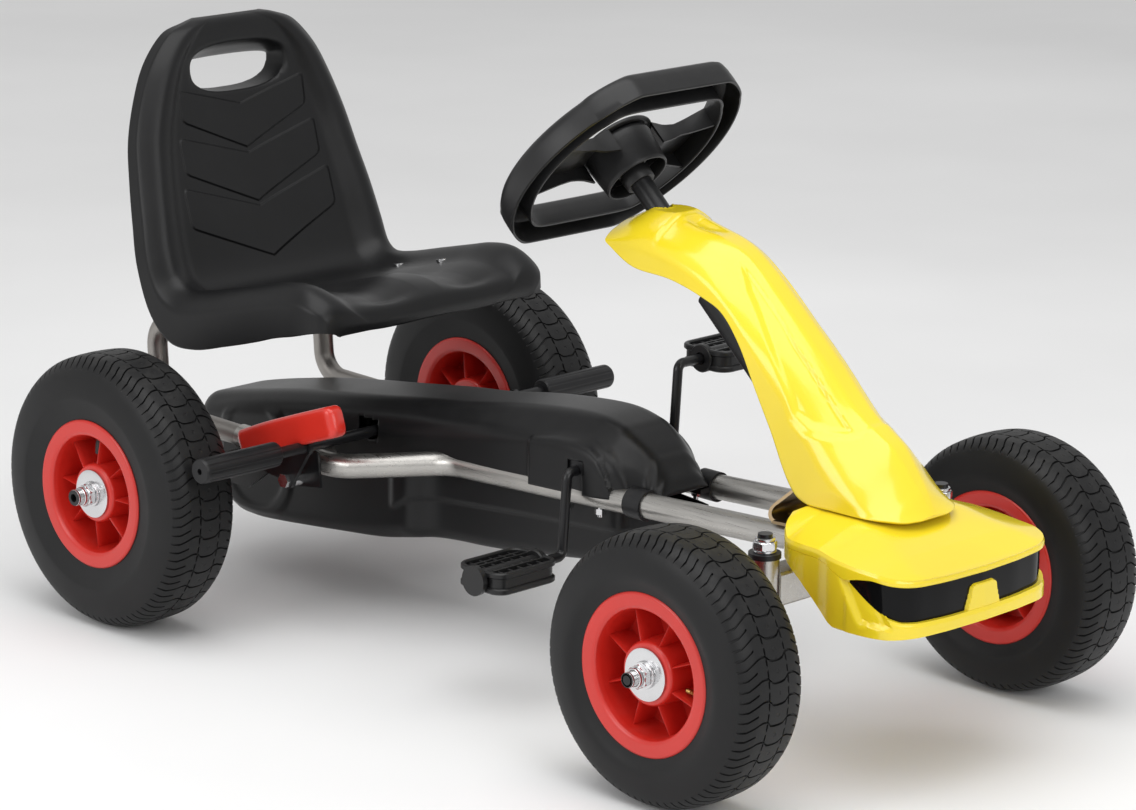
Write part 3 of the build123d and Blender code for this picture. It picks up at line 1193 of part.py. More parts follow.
nose_stations = [
    (-357, 243, -357, 205, 68, 70, 16, 6, 0, 0),
    (-383, 243, -383, 204, 108, 110, 53, 19, 0, 0),
    (-424, 243, -424, 177, 112, 113, 57, 19, 0, 0),
    (-450, 243, -450, 156, 118, 120, 60, 20, 0, 0),
    (-500, 222, -500, 156, 117, 119, 40, 10, 0, 0),
    (-514, 208, -514, 158, 110, 115, 20, 3.2, 0, 0),
    (-531, 204, -531, 160, 90, 95, 10, 3.2, 0, 0),
]
VISOR_Z = (172.0, 203.0)
VISOR_HALF = 104.0
with BuildPart() as nose:
    add(moulding(nose_stations, COWL_WALL, (False, True)))
    with BuildSketch(Plane.YZ):
        with BuildLine():
            Polyline((-531, 204), (-533, 204), (-536, 188), (-536, 160), (-531, 160), close=True)
        make_face()
    extrude(amount=12, both=True)
    with BuildSketch(Plane.XY.offset(VISOR_Z[0])):
        with Locations((0, -508 - 15)):
            Rectangle(2 * VISOR_HALF, 30)
        with Locations((0, -534)):
            Rectangle(24, 6, mode=Mode.SUBTRACT)
    extrude(amount=VISOR_Z[1] - VISOR_Z[0], mode=Mode.SUBTRACT)
    with BuildSketch(Plane.XY.offset(220)):
        with Locations((0, -368)):
            Rectangle(2 * 57.5, 44)
    extrude(amount=40, mode=Mode.SUBTRACT)
    add(bent_strip(bracket_line, BRACKET_T + 3, BRACKET_HALF_WIDTH + 1.5, 9), mode=Mode.SUBTRACT)
    for side in (-1, 1):
        add(z_rod(NOSE_POST_R, side * NOSE_POST_X, beam_y, beam_top, beam_top + 32))
        add(z_rod(NOSE_SCREW_R, side * NOSE_POST_X, beam_y, beam_top - 1, beam_top + 22),
            mode=Mode.SUBTRACT)
    add(left_rail_clear, mode=Mode.SUBTRACT)
    add(mirrored(left_rail_clear), mode=Mode.SUBTRACT)
save(nose.part, "nose")

visor_plan = [(-103.5, -509), (-93, -521), (-50, -526), (0, -528), (50, -526), (93, -521), (103.5, -509)]
with BuildPart() as visor:
    add(xy_prism(strip(visor_plan, 3), VISOR_Z[0] + SEAT_GAP, VISOR_Z[1] - SEAT_GAP))
save(visor.part, "visor")


# ---- seat ---------------------------------------------------------------------------------------

seat_stations = [
    (198, 337, 198, 326, 140, 140, 12, 5.2, 127, 1),
    (206, 348, 204, 324, 155, 155, 18, 8, 136, 4),
    (220, 357, 216, 320, 162, 162, 22, 12, 139, 10),
    (240, 364, 238, 314, 165, 165, 24, 16, 140, 14),
    (263, 363, 262, 308, 165, 165, 24, 18, 140, 12.6),
    (300, 355, 298, 297, 165, 165, 24, 18, 140, 14),
    (345, 344, 344, 284, 165, 165, 24, 18, 140, 14),
    (390, 333, 392, 272, 165, 165, 24, 18, 140, 14),
    (420, 329, 432, 273, 165, 165, 24, 18, 140, 14),
    (440, 340, 462, 300, 167, 167, 24, 18, 142, 14),
    (450, 362, 481, 346, 167, 168, 24, 14, 142, 13),
    (463, 400, 495, 388, 162, 162, 24, 14, 137, 12),
    (477, 440, 508, 430, 155, 155, 24, 14, 130, 12),
    (489, 480, 519, 472, 147, 147, 24, 14, 122, 11),
    (498, 520, 527, 515, 132, 132, 24, 14, 107, 10),
    (504, 552, 532, 550, 114, 114, 24, 12, 89, 8),
    (510, 578, 534, 578, 88, 88, 22, 10, 65, 5),
    (517, 592, 531, 592, 50, 50, 14, 6, 35, 1),
]
HAND_SLOT_Z = 531.0
HAND_SLOT_HEIGHT = 47.0
HAND_SLOT_HALF = 60.0
HAND_SLOT_CORNER = 18.0
SLOT_SKIRT_Y = 526.0
with BuildPart() as slot_skirt:
    with BuildSketch(Plane.XZ.offset(-SLOT_SKIRT_Y)):
        with Locations((0, HAND_SLOT_Z)):
            RectangleRounded(2 * (HAND_SLOT_HALF + SEAT_WALL), HAND_SLOT_HEIGHT + 2 * SEAT_WALL,
                             HAND_SLOT_CORNER + SEAT_WALL)
    extrude(amount=40)
    add(moulding_body(seat_stations), mode=Mode.INTERSECT)
with BuildPart() as seat:
    add(moulding(seat_stations, SEAT_WALL))
    add(slot_skirt.part)
    with BuildSketch(Plane.XZ.offset(-SLOT_SKIRT_Y)):
        with Locations((0, HAND_SLOT_Z)):
            RectangleRounded(2 * HAND_SLOT_HALF, HAND_SLOT_HEIGHT, HAND_SLOT_CORNER)
    extrude(amount=60, both=True, mode=Mode.SUBTRACT)
    for side in (-1, 1):
        for bolt_y in SEAT_BOLT_YS:
            add(on_pan(SEAT_BOLT_R + BOLT_FIT, side, bolt_y, -60, 20), mode=Mode.SUBTRACT)
save(seat.part, "seat")

leg_under = SEAT_WALL + 2 * SEAT_LEG_R + 0.5
with BuildPart() as seat_bolts:
    for side in (-1, 1):
        for bolt_y in SEAT_BOLT_YS:
            add(on_pan(SEAT_BOLT_R, side, bolt_y, -leg_under - 8, 1))
            add(on_pan(7, side, bolt_y, SEAT_GAP, 3))
            add(on_pan(6, side, bolt_y, -leg_under - 5, -leg_under - SEAT_GAP))
save(seat_bolts.part, "seat_bolts")
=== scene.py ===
"""Looks of a child's pedal go kart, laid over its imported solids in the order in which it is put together.

Metres. +Z is up, the kart's front faces -Y, and the driver's right is -X.
"""

from math import radians

import bmesh
import bpy
import numpy as np
from mathutils import Matrix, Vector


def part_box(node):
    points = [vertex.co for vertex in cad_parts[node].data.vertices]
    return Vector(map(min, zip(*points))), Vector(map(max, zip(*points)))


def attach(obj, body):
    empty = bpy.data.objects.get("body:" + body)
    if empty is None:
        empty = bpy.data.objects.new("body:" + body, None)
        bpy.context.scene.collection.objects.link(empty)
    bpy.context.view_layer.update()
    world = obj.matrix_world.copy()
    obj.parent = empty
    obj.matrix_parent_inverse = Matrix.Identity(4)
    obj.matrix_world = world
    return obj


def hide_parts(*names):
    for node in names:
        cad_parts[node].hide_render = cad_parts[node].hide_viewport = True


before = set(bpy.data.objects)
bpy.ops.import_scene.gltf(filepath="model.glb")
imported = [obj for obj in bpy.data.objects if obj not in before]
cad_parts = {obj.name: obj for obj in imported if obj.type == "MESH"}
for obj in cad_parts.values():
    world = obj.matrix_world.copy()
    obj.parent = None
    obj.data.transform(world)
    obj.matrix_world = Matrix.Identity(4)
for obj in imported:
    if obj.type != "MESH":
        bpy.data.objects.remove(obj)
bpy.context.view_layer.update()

# ---- tyres --------------------------------------------------------------------------------------
# Four pneumatic tyres of black rubber, moulded with a tread of arrow-shaped blocks, a row of pin
# holes down the middle and square lugs on the shoulders. Each grips its rim by two beads.

MM = 0.001
CORNERS = ("front_right", "front_left", "rear_right", "rear_left")
WHEEL_BODY = {
    "front_right": "front_right_wheel",
    "front_left": "front_left_wheel",
    "rear_right": "free_rear_wheel",
    "rear_left": "rear_axle",
}


def cells(rows, columns, close_rows=False, close_columns=False):
    """Corner numbers of a grid's cells: point (i, j) with its next neighbours down the rows and along
    the columns, counted round again where that way is closed."""
    i, j = np.meshgrid(np.arange(rows - (not close_rows)), np.arange(columns - (not close_columns)),
                       indexing="ij")
    down = (i + 1) % rows
    right = (j + 1) % columns
    return np.stack([i * columns + j, down * columns + j, down * columns + right, i * columns + right],
                    -1).reshape(-1, 4)


def cells_inside(mask):
    """Cells of an open grid that have all four corners in a mask of its points."""
    return mask[:-1, :-1] & mask[1:, :-1] & mask[:-1, 1:] & mask[1:, 1:]


def skin(grid, close_rows=False, close_columns=False, capped=False, hole=None):
    """Surface through a grid of points of shape (rows, columns, 3). Where capped, the first and the
    last row are each filled by one face. hole is a mask of points, and the cells inside it stay open."""
    rows, columns = grid.shape[:2]
    faces = cells(rows, columns, close_rows, close_columns)
    if hole is not None:
        faces = faces[~cells_inside(hole).ravel()]
    faces = faces.tolist()
    if capped:
        faces.append(list(range(columns)))
        faces.append(list(range(rows * columns - 1, (rows - 1) * columns - 1, -1)))
    return grid.reshape(-1, 3), faces


def piece(name, shells, body, material, crease=35.0, closed=True, marks=None):
    """One object of several shells: their points and faces follow one another, doubles at seams and
    poles are merged, faces are turned outwards where closed, and edges sharper than crease degrees
    stay sharp. marks are two values per point, kept as a UV map."""
    faces = []
    start = 0
    for points, shell_faces in shells:
        faces += [[start + corner for corner in face] for face in shell_faces]
        start += len(points)
    mesh = bpy.data.meshes.new(name)
    mesh.from_pydata(np.concatenate([shell[0] for shell in shells]).tolist(), [], faces)
    if marks is not None:
        corners = np.empty(len(mesh.loops), dtype=np.int32)
        mesh.loops.foreach_get("vertex_index", corners)
        mesh.uv_layers.new(name="marks").data.foreach_set("uv", marks[corners].ravel())
    merged = bmesh.new()
    merged.from_mesh(mesh)
    bmesh.ops.remove_doubles(merged, verts=merged.verts, dist=1e-6)
    if closed:
        bmesh.ops.recalc_face_normals(merged, faces=merged.faces)
    merged.to_mesh(mesh)
    merged.free()
    mesh.shade_smooth()
    mesh.set_sharp_from_angle(angle=radians(crease))
    mesh.materials.append(material)
    made = bpy.data.objects.new(name, mesh)
    bpy.context.scene.collection.objects.link(made)
    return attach(made, body)


def through(table, where):
    """Values between a table's rows at places counted in rows: on each stretch the cubic that meets
    both rows with the slope between their outer neighbours."""
    table = np.asarray(table, float)
    padded = np.vstack([2 * table[0] - table[1], table, 2 * table[-1] - table[-2]])
    index = np.clip(np.floor(where).astype(int), 0, len(table) - 2)
    share = (np.asarray(where) - index)[:, None]
    before, first, second, after = (padded[index + offset] for offset in range(4))
    return 0.5 * (2 * first + (second - before) * share
                  + (2 * before - 5 * first + 4 * second - after) * share ** 2
                  + (3 * first - before - 3 * second + after) * share ** 3)


def reach_of(points):
    """Distance of each point of an open run from its start."""
    return np.concatenate([[0], np.cumsum(np.linalg.norm(np.diff(points, axis=0), axis=1))])


def along(points, places, reach=None):
    """Points of an open run at given distances along it, straight between its own points."""
    reach = reach_of(points) if reach is None else reach
    return np.stack([np.interp(places, reach, column) for column in points.T], -1)


def corners_of(name):
    """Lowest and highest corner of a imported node's box."""
    low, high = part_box(name)
    return np.array(low), np.array(high)


def wheel_place(corner):
    """Centre of a wheel, its radius, its half width and the sign of its outer side."""
    low, high = corners_of(corner + "_tyre")
    centre = (low + high) / 2
    return centre, (high[2] - low[2]) / 2, (high[0] - low[0]) / 2, np.sign(centre[0])


def node(tree, kind, inputs=None, **settings):
    """New node of a tree, with its settings and with each input set to a value or joined to a socket."""
    made = tree.nodes.new("ShaderNode" + kind)
    for name, value in settings.items():
        setattr(made, name, value)
    for key, value in (inputs or {}).items():
        if isinstance(value, bpy.types.NodeSocket):
            tree.links.new(value, made.inputs[key])
        else:
            made.inputs[key].default_value = value
    return made


def maths(tree, operation, *values, **settings):
    """Result of a Math node over values or sockets."""
    return node(tree, "Math", dict(enumerate(values)), operation=operation, **settings).outputs[0]


def mapped(tree, value, low, high, to_low=0.0, to_high=1.0, **settings):
    """Value carried from the range low to high on to the range to_low to to_high, held at its ends."""
    return node(tree, "MapRange", {"Value": value, "From Min": low, "From Max": high, "To Min": to_low,
                                   "To Max": to_high}, **settings).outputs[0]


def shared_group(name, inputs, outputs):
    """New shader node group with number inputs (name, value) and outputs (name, socket type), and
    its two end nodes."""
    tree = bpy.data.node_groups.new(name, "ShaderNodeTree")
    for socket, value in inputs:
        made = tree.interface.new_socket(socket, in_out="INPUT", socket_type="NodeSocketFloat")
        made.default_value = value
    for socket, kind in outputs:
        tree.interface.new_socket(socket, in_out="OUTPUT", socket_type=kind)
    return tree, tree.nodes.new("NodeGroupInput"), tree.nodes.new("NodeGroupOutput")


def placed_group(tree, group, **values):
    """A shared group's node in a material, with its inputs set; _ stands for a space in a name."""
    made = tree.nodes.new("ShaderNodeGroup")
    made.node_tree = group
    for name, value in values.items():
        made.inputs[name.replace("_", " ")].default_value = value
    return made


# Fine grain of a moulded or coated skin: height of two noises, the coarse one a share of the fine.
grain_group, grain_in, grain_out = shared_group(
    "skin_grain", (("Scale", 900.0), ("Coarse Share", 0.3)),
    (("Height", "NodeSocketFloat"), ("Mottle", "NodeSocketFloat")))
grain_place = node(grain_group, "TexCoord")
fine = node(grain_group, "TexNoise", {"Vector": grain_place.outputs["Object"], "Detail": 2.0,
                                      "Scale": grain_in.outputs["Scale"]})
coarse_scale = maths(grain_group, "MULTIPLY", grain_in.outputs["Scale"], 0.02)
coarse = node(grain_group, "TexNoise", {"Vector": grain_place.outputs["Object"], "Detail": 4.0,
                                        "Scale": coarse_scale})
grain_mix = node(grain_group, "Mix", {"Factor": grain_in.outputs["Coarse Share"],
                                      "A": fine.outputs["Fac"], "B": coarse.outputs["Fac"]})
grain_group.links.new(grain_mix.outputs["Result"], grain_out.inputs["Height"])
grain_group.links.new(coarse.outputs["Fac"], grain_out.inputs["Mottle"])

# Handling marks: a roughness that drifts round a middle value, and faint dust on faces that look up.
marks_group, marks_in, marks_out = shared_group(
    "handling_marks", (("Roughness", 0.4), ("Spread", 0.12), ("Scale", 14.0), ("Dust", 0.15)),
    (("Roughness", "NodeSocketFloat"), ("Dust", "NodeSocketFloat")))
marks_place = node(marks_group, "TexCoord")
smears = node(marks_group, "TexNoise", {"Vector": marks_place.outputs["Object"], "Detail": 6.0,
                                        "Roughness": 0.6, "Scale": marks_in.outputs["Scale"]})
smear_shift = maths(marks_group, "SUBTRACT", smears.outputs["Fac"], 0.5)
smear_size = maths(marks_group, "MULTIPLY", smear_shift, marks_in.outputs["Spread"])
smeared = maths(marks_group, "ADD", smear_size, marks_in.outputs["Roughness"], use_clamp=True)
facing = node(marks_group, "SeparateXYZ", {0: marks_place.outputs["Normal"]})
upward = mapped(marks_group, facing.outputs["Z"], 0.2, 1.0)
specks = node(marks_group, "TexNoise", {"Vector": marks_place.outputs["Object"], "Detail": 8.0,
                                        "Roughness": 0.7, "Scale": 60.0})
speck_mask = mapped(marks_group, specks.outputs["Fac"], 0.45, 0.75)
dusty = maths(marks_group, "MULTIPLY", upward, speck_mask)
dust_amount = maths(marks_group, "MULTIPLY", dusty, marks_in.outputs["Dust"])
marks_group.links.new(smeared, marks_out.inputs["Roughness"])
marks_group.links.new(dust_amount, marks_out.inputs["Dust"])


def finish(name, colour, roughness, grain, marks, bump=0.1, bump_depth=0.0002, metallic=0.0, coat=0.0,
           coat_roughness=0.1, specular=0.5):
    """Material with grain in its normal, drifting roughness, and dust over a slightly mottled colour.
    grain is (scale, coarse share) and marks is (spread, scale, dust) for the two shared groups."""
    made = bpy.data.materials.new(name)
    made.use_nodes = True
    tree = made.node_tree
    surface = tree.nodes["Principled BSDF"]
    for key, value in (("Base Color", (*colour, 1)), ("Roughness", roughness), ("Metallic", metallic),
                       ("Coat Weight", coat), ("Coat Roughness", coat_roughness),
                       ("Specular IOR Level", specular)):
        surface.inputs[key].default_value = value
    skin_grain = placed_group(tree, grain_group, Scale=grain[0], Coarse_Share=grain[1])
    wear = placed_group(tree, marks_group, Roughness=roughness, Spread=marks[0], Scale=marks[1],
                        Dust=marks[2])
    dark = tuple(0.82 * part for part in colour)
    light = tuple(min(1.0, 1.08 * part + 0.002) for part in colour)
    mottled = node(tree, "Mix", {"Factor": skin_grain.outputs["Mottle"], 6: (*dark, 1), 7: (*light, 1)},
                   data_type="RGBA")
    dusted = node(tree, "Mix", {"Factor": wear.outputs["Dust"], 6: mottled.outputs[2],
                                7: (0.42, 0.40, 0.37, 1)}, data_type="RGBA")
    relief = node(tree, "Bump", {"Strength": bump, "Distance": bump_depth,
                                 "Height": skin_grain.outputs["Height"]})
    tree.links.new(dusted.outputs[2], surface.inputs["Base Color"])
    tree.links.new(wear.outputs["Roughness"], surface.inputs["Roughness"])
    tree.links.new(relief.outputs["Normal"], surface.inputs["Normal"])
    return made


def more_relief(tree, strength, distance, height):
    """Second relief laid over the grain of a material made by finish."""
    relief = node(tree, "Bump", {"Strength": strength, "Distance": distance, "Height": height,
                                 "Normal": tree.nodes["Bump"].outputs["Normal"]})
    tree.links.new(relief.outputs["Normal"], tree.nodes["Principled BSDF"].inputs["Normal"])


tyre_black = finish("tyre_rubber_black", (0.006, 0.006, 0.0064), 0.48, (1400.0, 0.25),
                    (0.16, 22.0, 0.05), bump=0.25, bump_depth=0.0003, specular=0.3)

# A row of pin holes down the middle of the tread, one in the middle of each pitch.
tyre_tree = tyre_black.node_tree
tread_marks = node(tyre_tree, "UVMap", uv_map="marks")
tread_split = node(tyre_tree, "SeparateXYZ", {0: tread_marks.outputs[0]})
pitch_share = maths(tyre_tree, "FRACT", tread_split.outputs["X"])
pin_along = mapped(tyre_tree, pitch_share, 0.0, 1.0, -10.0, 10.0)
pin_place = node(tyre_tree, "CombineXYZ", {"X": pin_along, "Y": tread_split.outputs["Y"]})
pin_reach = node(tyre_tree, "VectorMath", {0: pin_place.outputs[0]}, operation="LENGTH")
more_relief(tyre_tree, 1.0, 0.0012, mapped(tyre_tree, pin_reach.outputs["Value"], 1.3, 1.9,
                                           interpolation_type="SMOOTHSTEP"))

BEAD_RADIUS = 65 * MM
TREAD_PITCH = 20.4 * MM
GROOVE_DEPTH = 2.2 * MM
GROOVE_SHARE = 0.045
MIDDLE_RING = (11.9, 13.4)
SHOULDER = (24.9, 44)
PITCH_SHARES = np.array([0, 0.03, 0.055, 0.15, 0.30, 0.445, 0.47, 0.5, 0.53, 0.555, 0.70, 0.85, 0.945,
                         0.97])
TREAD_ROWS = np.array([0, 4, 8, 11.6, 12.1, 13.1, 13.6, 17, 21, 24.6, 25.1, 28, 31, 34.5, 35, 38, 41, 43.5,
                       44.5, 47, 51, 55, 59, 63, 67, 70.5, 73.5, 76.5])
ARROW_LEAD = np.array([(0, 4.5), (7, 4.5), (13, -1.0), (19, -1.5), (27, 2.5), (35, 7), (43, 8)])


def tyre_side(radius, half_width):
    """Half section of a tyre from the crown's middle to the bead, as distances from the middle plane
    and from the axle."""
    height = radius - BEAD_RADIUS
    knots = np.array([
        (0, radius - 0.2 * MM),
        (15 * MM, radius - 0.75 * MM),
        (half_width - 17 * MM, radius - 3 * MM),
        (half_width - 5.2 * MM, BEAD_RADIUS + height * 0.82),
        (half_width - 0.1 * MM, BEAD_RADIUS + height * 0.50),
        (half_width - 2.2 * MM, BEAD_RADIUS + height * 0.32),
        (half_width - 8 * MM, 79 * MM),
        (half_width - 8 * MM, 69 * MM),
    ])
    return through(knots, np.linspace(0, len(knots) - 1, 240))


def tyre(corner):
    """Tyre as a grid: rows run across the section at set distances from the crown's middle, columns
    round the tyre. A column is turned by the arrow's lead at its row, and a point sinks below the
    section by the depth of the groove that crosses it."""
    centre, radius, half_width, _ = wheel_place(corner)
    section = tyre_side(radius, half_width)
    reach = np.linalg.norm(np.diff(section, axis=0), axis=1).sum()
    rows = TREAD_ROWS[TREAD_ROWS * MM < reach - 4 * MM] * MM
    rows = np.concatenate([rows, [reach - 3 * MM, reach]])
    half = along(section, rows)
    slope = np.gradient(half, rows, axis=0)
    normal = np.stack([-slope[:, 1], slope[:, 0]], -1)
    normal *= np.sign(normal[:, 1:] + 1e-9)
    count = int(round(2 * np.pi * radius / TREAD_PITCH))
    turn = (np.arange(count)[:, None] + PITCH_SHARES).ravel()
    turn = np.append(turn, count)
    share = turn % 1.0
    lead = np.interp(rows / MM, ARROW_LEAD[:, 0], ARROW_LEAD[:, 1]) * MM
    place = rows[:, None] / MM
    near_whole = np.minimum(share, 1 - share)
    near_half = np.abs(share - 0.5)
    cross = (near_whole < GROOVE_SHARE) & (place < SHOULDER[1])
    lug = (near_half < GROOVE_SHARE) & (place > SHOULDER[0]) & (place < SHOULDER[1])
    middle = (place > MIDDLE_RING[0]) & (place < MIDDLE_RING[1]) & (np.abs(share % 0.5 - 0.25) < 0.16)
    fade = np.clip((45 - place) / 8, 0.35, 1)
    depth = GROOVE_DEPTH * fade * (cross | lug | middle)
    shells, uv = [], []
    for hand in (1, -1):
        across = half[:, None, 0] - depth * normal[:, None, 0]
        out = half[:, None, 1] - depth * normal[:, None, 1]
        angle = 2 * np.pi * turn[None, :] / count + lead[:, None] / radius
        grid = np.stack([hand * across, out * np.cos(angle), out * np.sin(angle)], -1)
        shells.append(skin(grid + centre))
        uv.append(np.stack(np.broadcast_arrays(turn[None, :] + 0 * rows[:, None],
                                               hand * rows[:, None] / MM), -1).reshape(-1, 2))
    bead = half[-1]
    inside = np.array([bead, bead - [6 * MM, 0], bead - [6 * MM, -8 * MM],
                       (0.028, radius - 12 * MM), (0, radius - 9 * MM)])
    inside = np.vstack([inside, inside[-2::-1] * [-1, 1]])
    angle = 2 * np.pi * turn / count + lead[-1] / radius
    ring_grid = np.stack([np.broadcast_to(inside[:, None, 0], (len(inside), len(turn))),
                          inside[:, None, 1] * np.cos(angle), inside[:, None, 1] * np.sin(angle)], -1)
    shells.append(skin(ring_grid + centre))
    uv.append(np.full((ring_grid.shape[0] * ring_grid.shape[1], 2), 60.0))
    return piece(corner + "_tyre_tread", shells, WHEEL_BODY[corner], tyre_black, crease=28.0,
                 marks=np.concatenate(uv))


for corner in CORNERS:
    made_tyre = tyre(corner)
    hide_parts(corner + "_tyre")

# ---- rims and hubs ------------------------------------------------------------------------------
# Red polypropylene rims, moulded in one piece: two flanges, a drum, a web and a boss, with eight
# thin ribs on each face of the web. A steel bush is pressed into each end of the boss.

RIM_TURN = {"front_right": 22.5, "front_left": 8.0, "rear_right": 3.0, "rear_left": 30.0}
RIBS = 8


def eased(points, radius, steps=4, closed=False):
    """Run of points with rounded corners: each corner gives way to the parabola that leaves one leg
    and meets the next at the radius's distance from it, or at 0.45 of the leg where that is less."""
    points = np.asarray(points, float)
    before = np.roll(points, 1, 0)
    after = np.roll(points, -1, 0)
    if not closed:
        before[0] = points[0]
        after[-1] = points[-1]
    radius = np.broadcast_to(radius, len(points))[:, None]

    def toward(other):
        leg = other - points
        length = np.maximum(np.linalg.norm(leg, axis=1, keepdims=True), 1e-12)
        return points + leg / length * np.minimum(radius, 0.45 * length)

    share = np.linspace(0, 1, steps + 1)[None, :, None]
    curve = (toward(before)[:, None] * (1 - share) ** 2 + 2 * points[:, None] * share * (1 - share)
             + toward(after)[:, None] * share ** 2)
    return curve.reshape(-1, points.shape[1])


def turning_frame(axis):
    """Unit vector along an axis and two more at right angles to it and to each other."""
    axis = np.asarray(axis, float) / np.linalg.norm(axis)
    aside = np.cross(axis, [0, 0, 1] if abs(axis[2]) < 0.9 else [0, 1, 0])
    aside = aside / np.linalg.norm(aside)
    return axis, aside, np.cross(axis, aside)


def turned(profile, origin, axis, turns=72, closed=False):
    """Surface turned about an axis through origin: each (distance along the axis, radius) pair is
    carried once round it."""
    axis, aside, across = turning_frame(axis)
    profile = np.asarray(profile, float)
    angle = np.linspace(0, 2 * np.pi, turns, endpoint=False)
    round_axis = np.cos(angle)[:, None] * aside + np.sin(angle)[:, None] * across
    grid = (profile[:, 0, None, None] * axis + profile[:, 1, None, None] * round_axis + origin)
    return skin(grid, close_rows=closed, close_columns=True)


rim_red = finish("rim_red_moulding", (0.60, 0.020, 0.012), 0.34, (700.0, 0.4), (0.10, 18.0, 0.05),
                 bump=0.12, bump_depth=0.0003, coat=0.25, coat_roughness=0.2)


def rim(corner):
    """Rim: a closed section turned about the axle, and ribs whose rounded section runs straight out
    from the boss to the drum, sloping down a little on the way."""
    centre, _, _, side = wheel_place(corner)
    low, high = corners_of(corner + "_rim")
    edge = (high[0] - low[0]) / 2 / MM
    half = [(edge - 4, 65), (edge - 4, 76.5), (edge - 2, 78), (edge, 76), (edge - 0.6, 64.5),
            (edge - 2.2, 61.5), (edge - 8, 60), (2, 58), (2, 32), (edge - 9, 30.5), (edge - 6, 28.5),
            (edge - 6, 16)]
    whole = np.array(half[::-1] + [(-x, r) for x, r in half])[::-1]
    shells = [turned(eased(whole * MM, 1.4 * MM, 4, closed=True), centre, (side, 0, 0), 144, closed=True)]
    section = eased(np.array([(-1.7, 0), (-1.4, 1), (1.4, 1), (1.7, 0)]) * [MM, 1], [0, 1, 1, 0], 3)
    for face in (1, -1):
        for number in range(RIBS):
            angle = radians(RIM_TURN[corner] + number * 360 / RIBS)
            out = np.array([0, np.cos(angle), np.sin(angle)])
            aside = np.array([0, -np.sin(angle), np.cos(angle)])
            radius = np.array([29.5, 40, 50, 60.0]) * MM
            top = np.array([edge - 9.5, edge - 11, edge - 12.5, edge - 14]) * MM
            foot = 1.5 * MM
            grid = (radius[:, None, None] * out + section[None, :, :1] * aside
                    + (foot + section[None, :, 1:] * (top - foot)[:, None, None]) * [side * face, 0, 0])
            shells.append(skin(grid + centre, close_columns=True, capped=True))
    return piece(corner + "_rim_moulding", shells, WHEEL_BODY[corner], rim_red, crease=40.0)


for corner in CORNERS:
    made_rim = rim(corner)
    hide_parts(corner + "_rim")

# ---- tubes and valves ---------------------------------------------------------------------------
# Each tyre holds a butyl tube. Its valve comes through the drum of the rim and lies in towards the
# hub: the front right one shows its bare brass stem, the others wear a black dust cap.

VALVE_TURN = {"front_right": 194.0, "front_left": 100.0, "rear_right": 78.0, "rear_left": 250.0}
DRUM_RADIUS = 61 * MM

tube_black = finish("tube_butyl_black", (0.02, 0.02, 0.02), 0.55, (500.0, 0.3), (0.1, 20.0, 0.0))
brass = finish("valve_brass", (0.45, 0.27, 0.09), 0.30, (2500.0, 0.5), (0.12, 90.0, 0.0), metallic=1.0)

for corner in CORNERS:
    centre, radius, half_width, side = wheel_place(corner)
    middle = (radius + BEAD_RADIUS) / 2
    round_section = np.linspace(0, 2 * np.pi, 24, endpoint=False)
    tube_section = np.stack([0.62 * half_width * np.cos(round_section),
                             middle - 2 * MM + (middle - 69 * MM) * 0.86 * np.sin(round_section)], -1)
    made_tube = piece(corner + "_inner_tube", [turned(tube_section, centre, (1, 0, 0), 72, closed=True)],
                      WHEEL_BODY[corner], tube_black)
    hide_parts(corner + "_tube")
    angle = radians(VALVE_TURN[corner])
    inward = np.array([0.30 * side, -np.cos(angle), -np.sin(angle)])
    root = centre + np.array([side * 15 * MM, DRUM_RADIUS * np.cos(angle), DRUM_RADIUS * np.sin(angle)])
    bare = corner == "front_right"
    collar = [(-3, 0), (-3, 4.6), (4, 4.6), (6, 3.4), (10, 3.2)]
    stem = [(10, 2.6), (13, 2.6), (13, 3.0), (14, 2.5), (15, 3.0), (16, 2.5), (17, 3.0), (18, 2.5),
            (19, 3.0), (20, 2.5), (23, 2.6), (24, 2.0), (24, 1.1), (22, 1.0), (22, 0)]
    cap = [(10, 3.6), (12, 3.9), (21, 3.7), (23.5, 2.8), (24, 0)]
    made_collar = piece(corner + "_valve_root",
                        [turned(np.array(collar + [(10, 0)]) * MM, root, inward, 24)],
                        WHEEL_BODY[corner], tube_black)
    made_valve = piece(corner + "_valve", [turned(np.array([(10, 0)] + (stem if bare else cap)) * MM, root,
                                                  inward, 24)],
                       WHEEL_BODY[corner], brass if bare else tube_black)

# ---- wheel nuts, washers and axle ends ----------------------------------------------------------
# Zinc-plated steel: a broad washer on the boss, a thick spacer, a lock nut with a round crown, and
# the hollow threaded end of the axle that stands out of it.

zinc = finish("zinc_plated_steel", (0.72, 0.72, 0.73), 0.22, (1800.0, 0.5), (0.22, 45.0, 0.03),
              bump=0.06, metallic=1.0)
# Painted shade: a matt black disc set down the hollow front axle ends darkens their bores in place of the
# shade inside the hole.
bore_painted_shade = finish("axle_bore_painted_shade", (0.012, 0.012, 0.012), 0.7, (900.0, 0.4), (0.1, 60.0, 0.0))


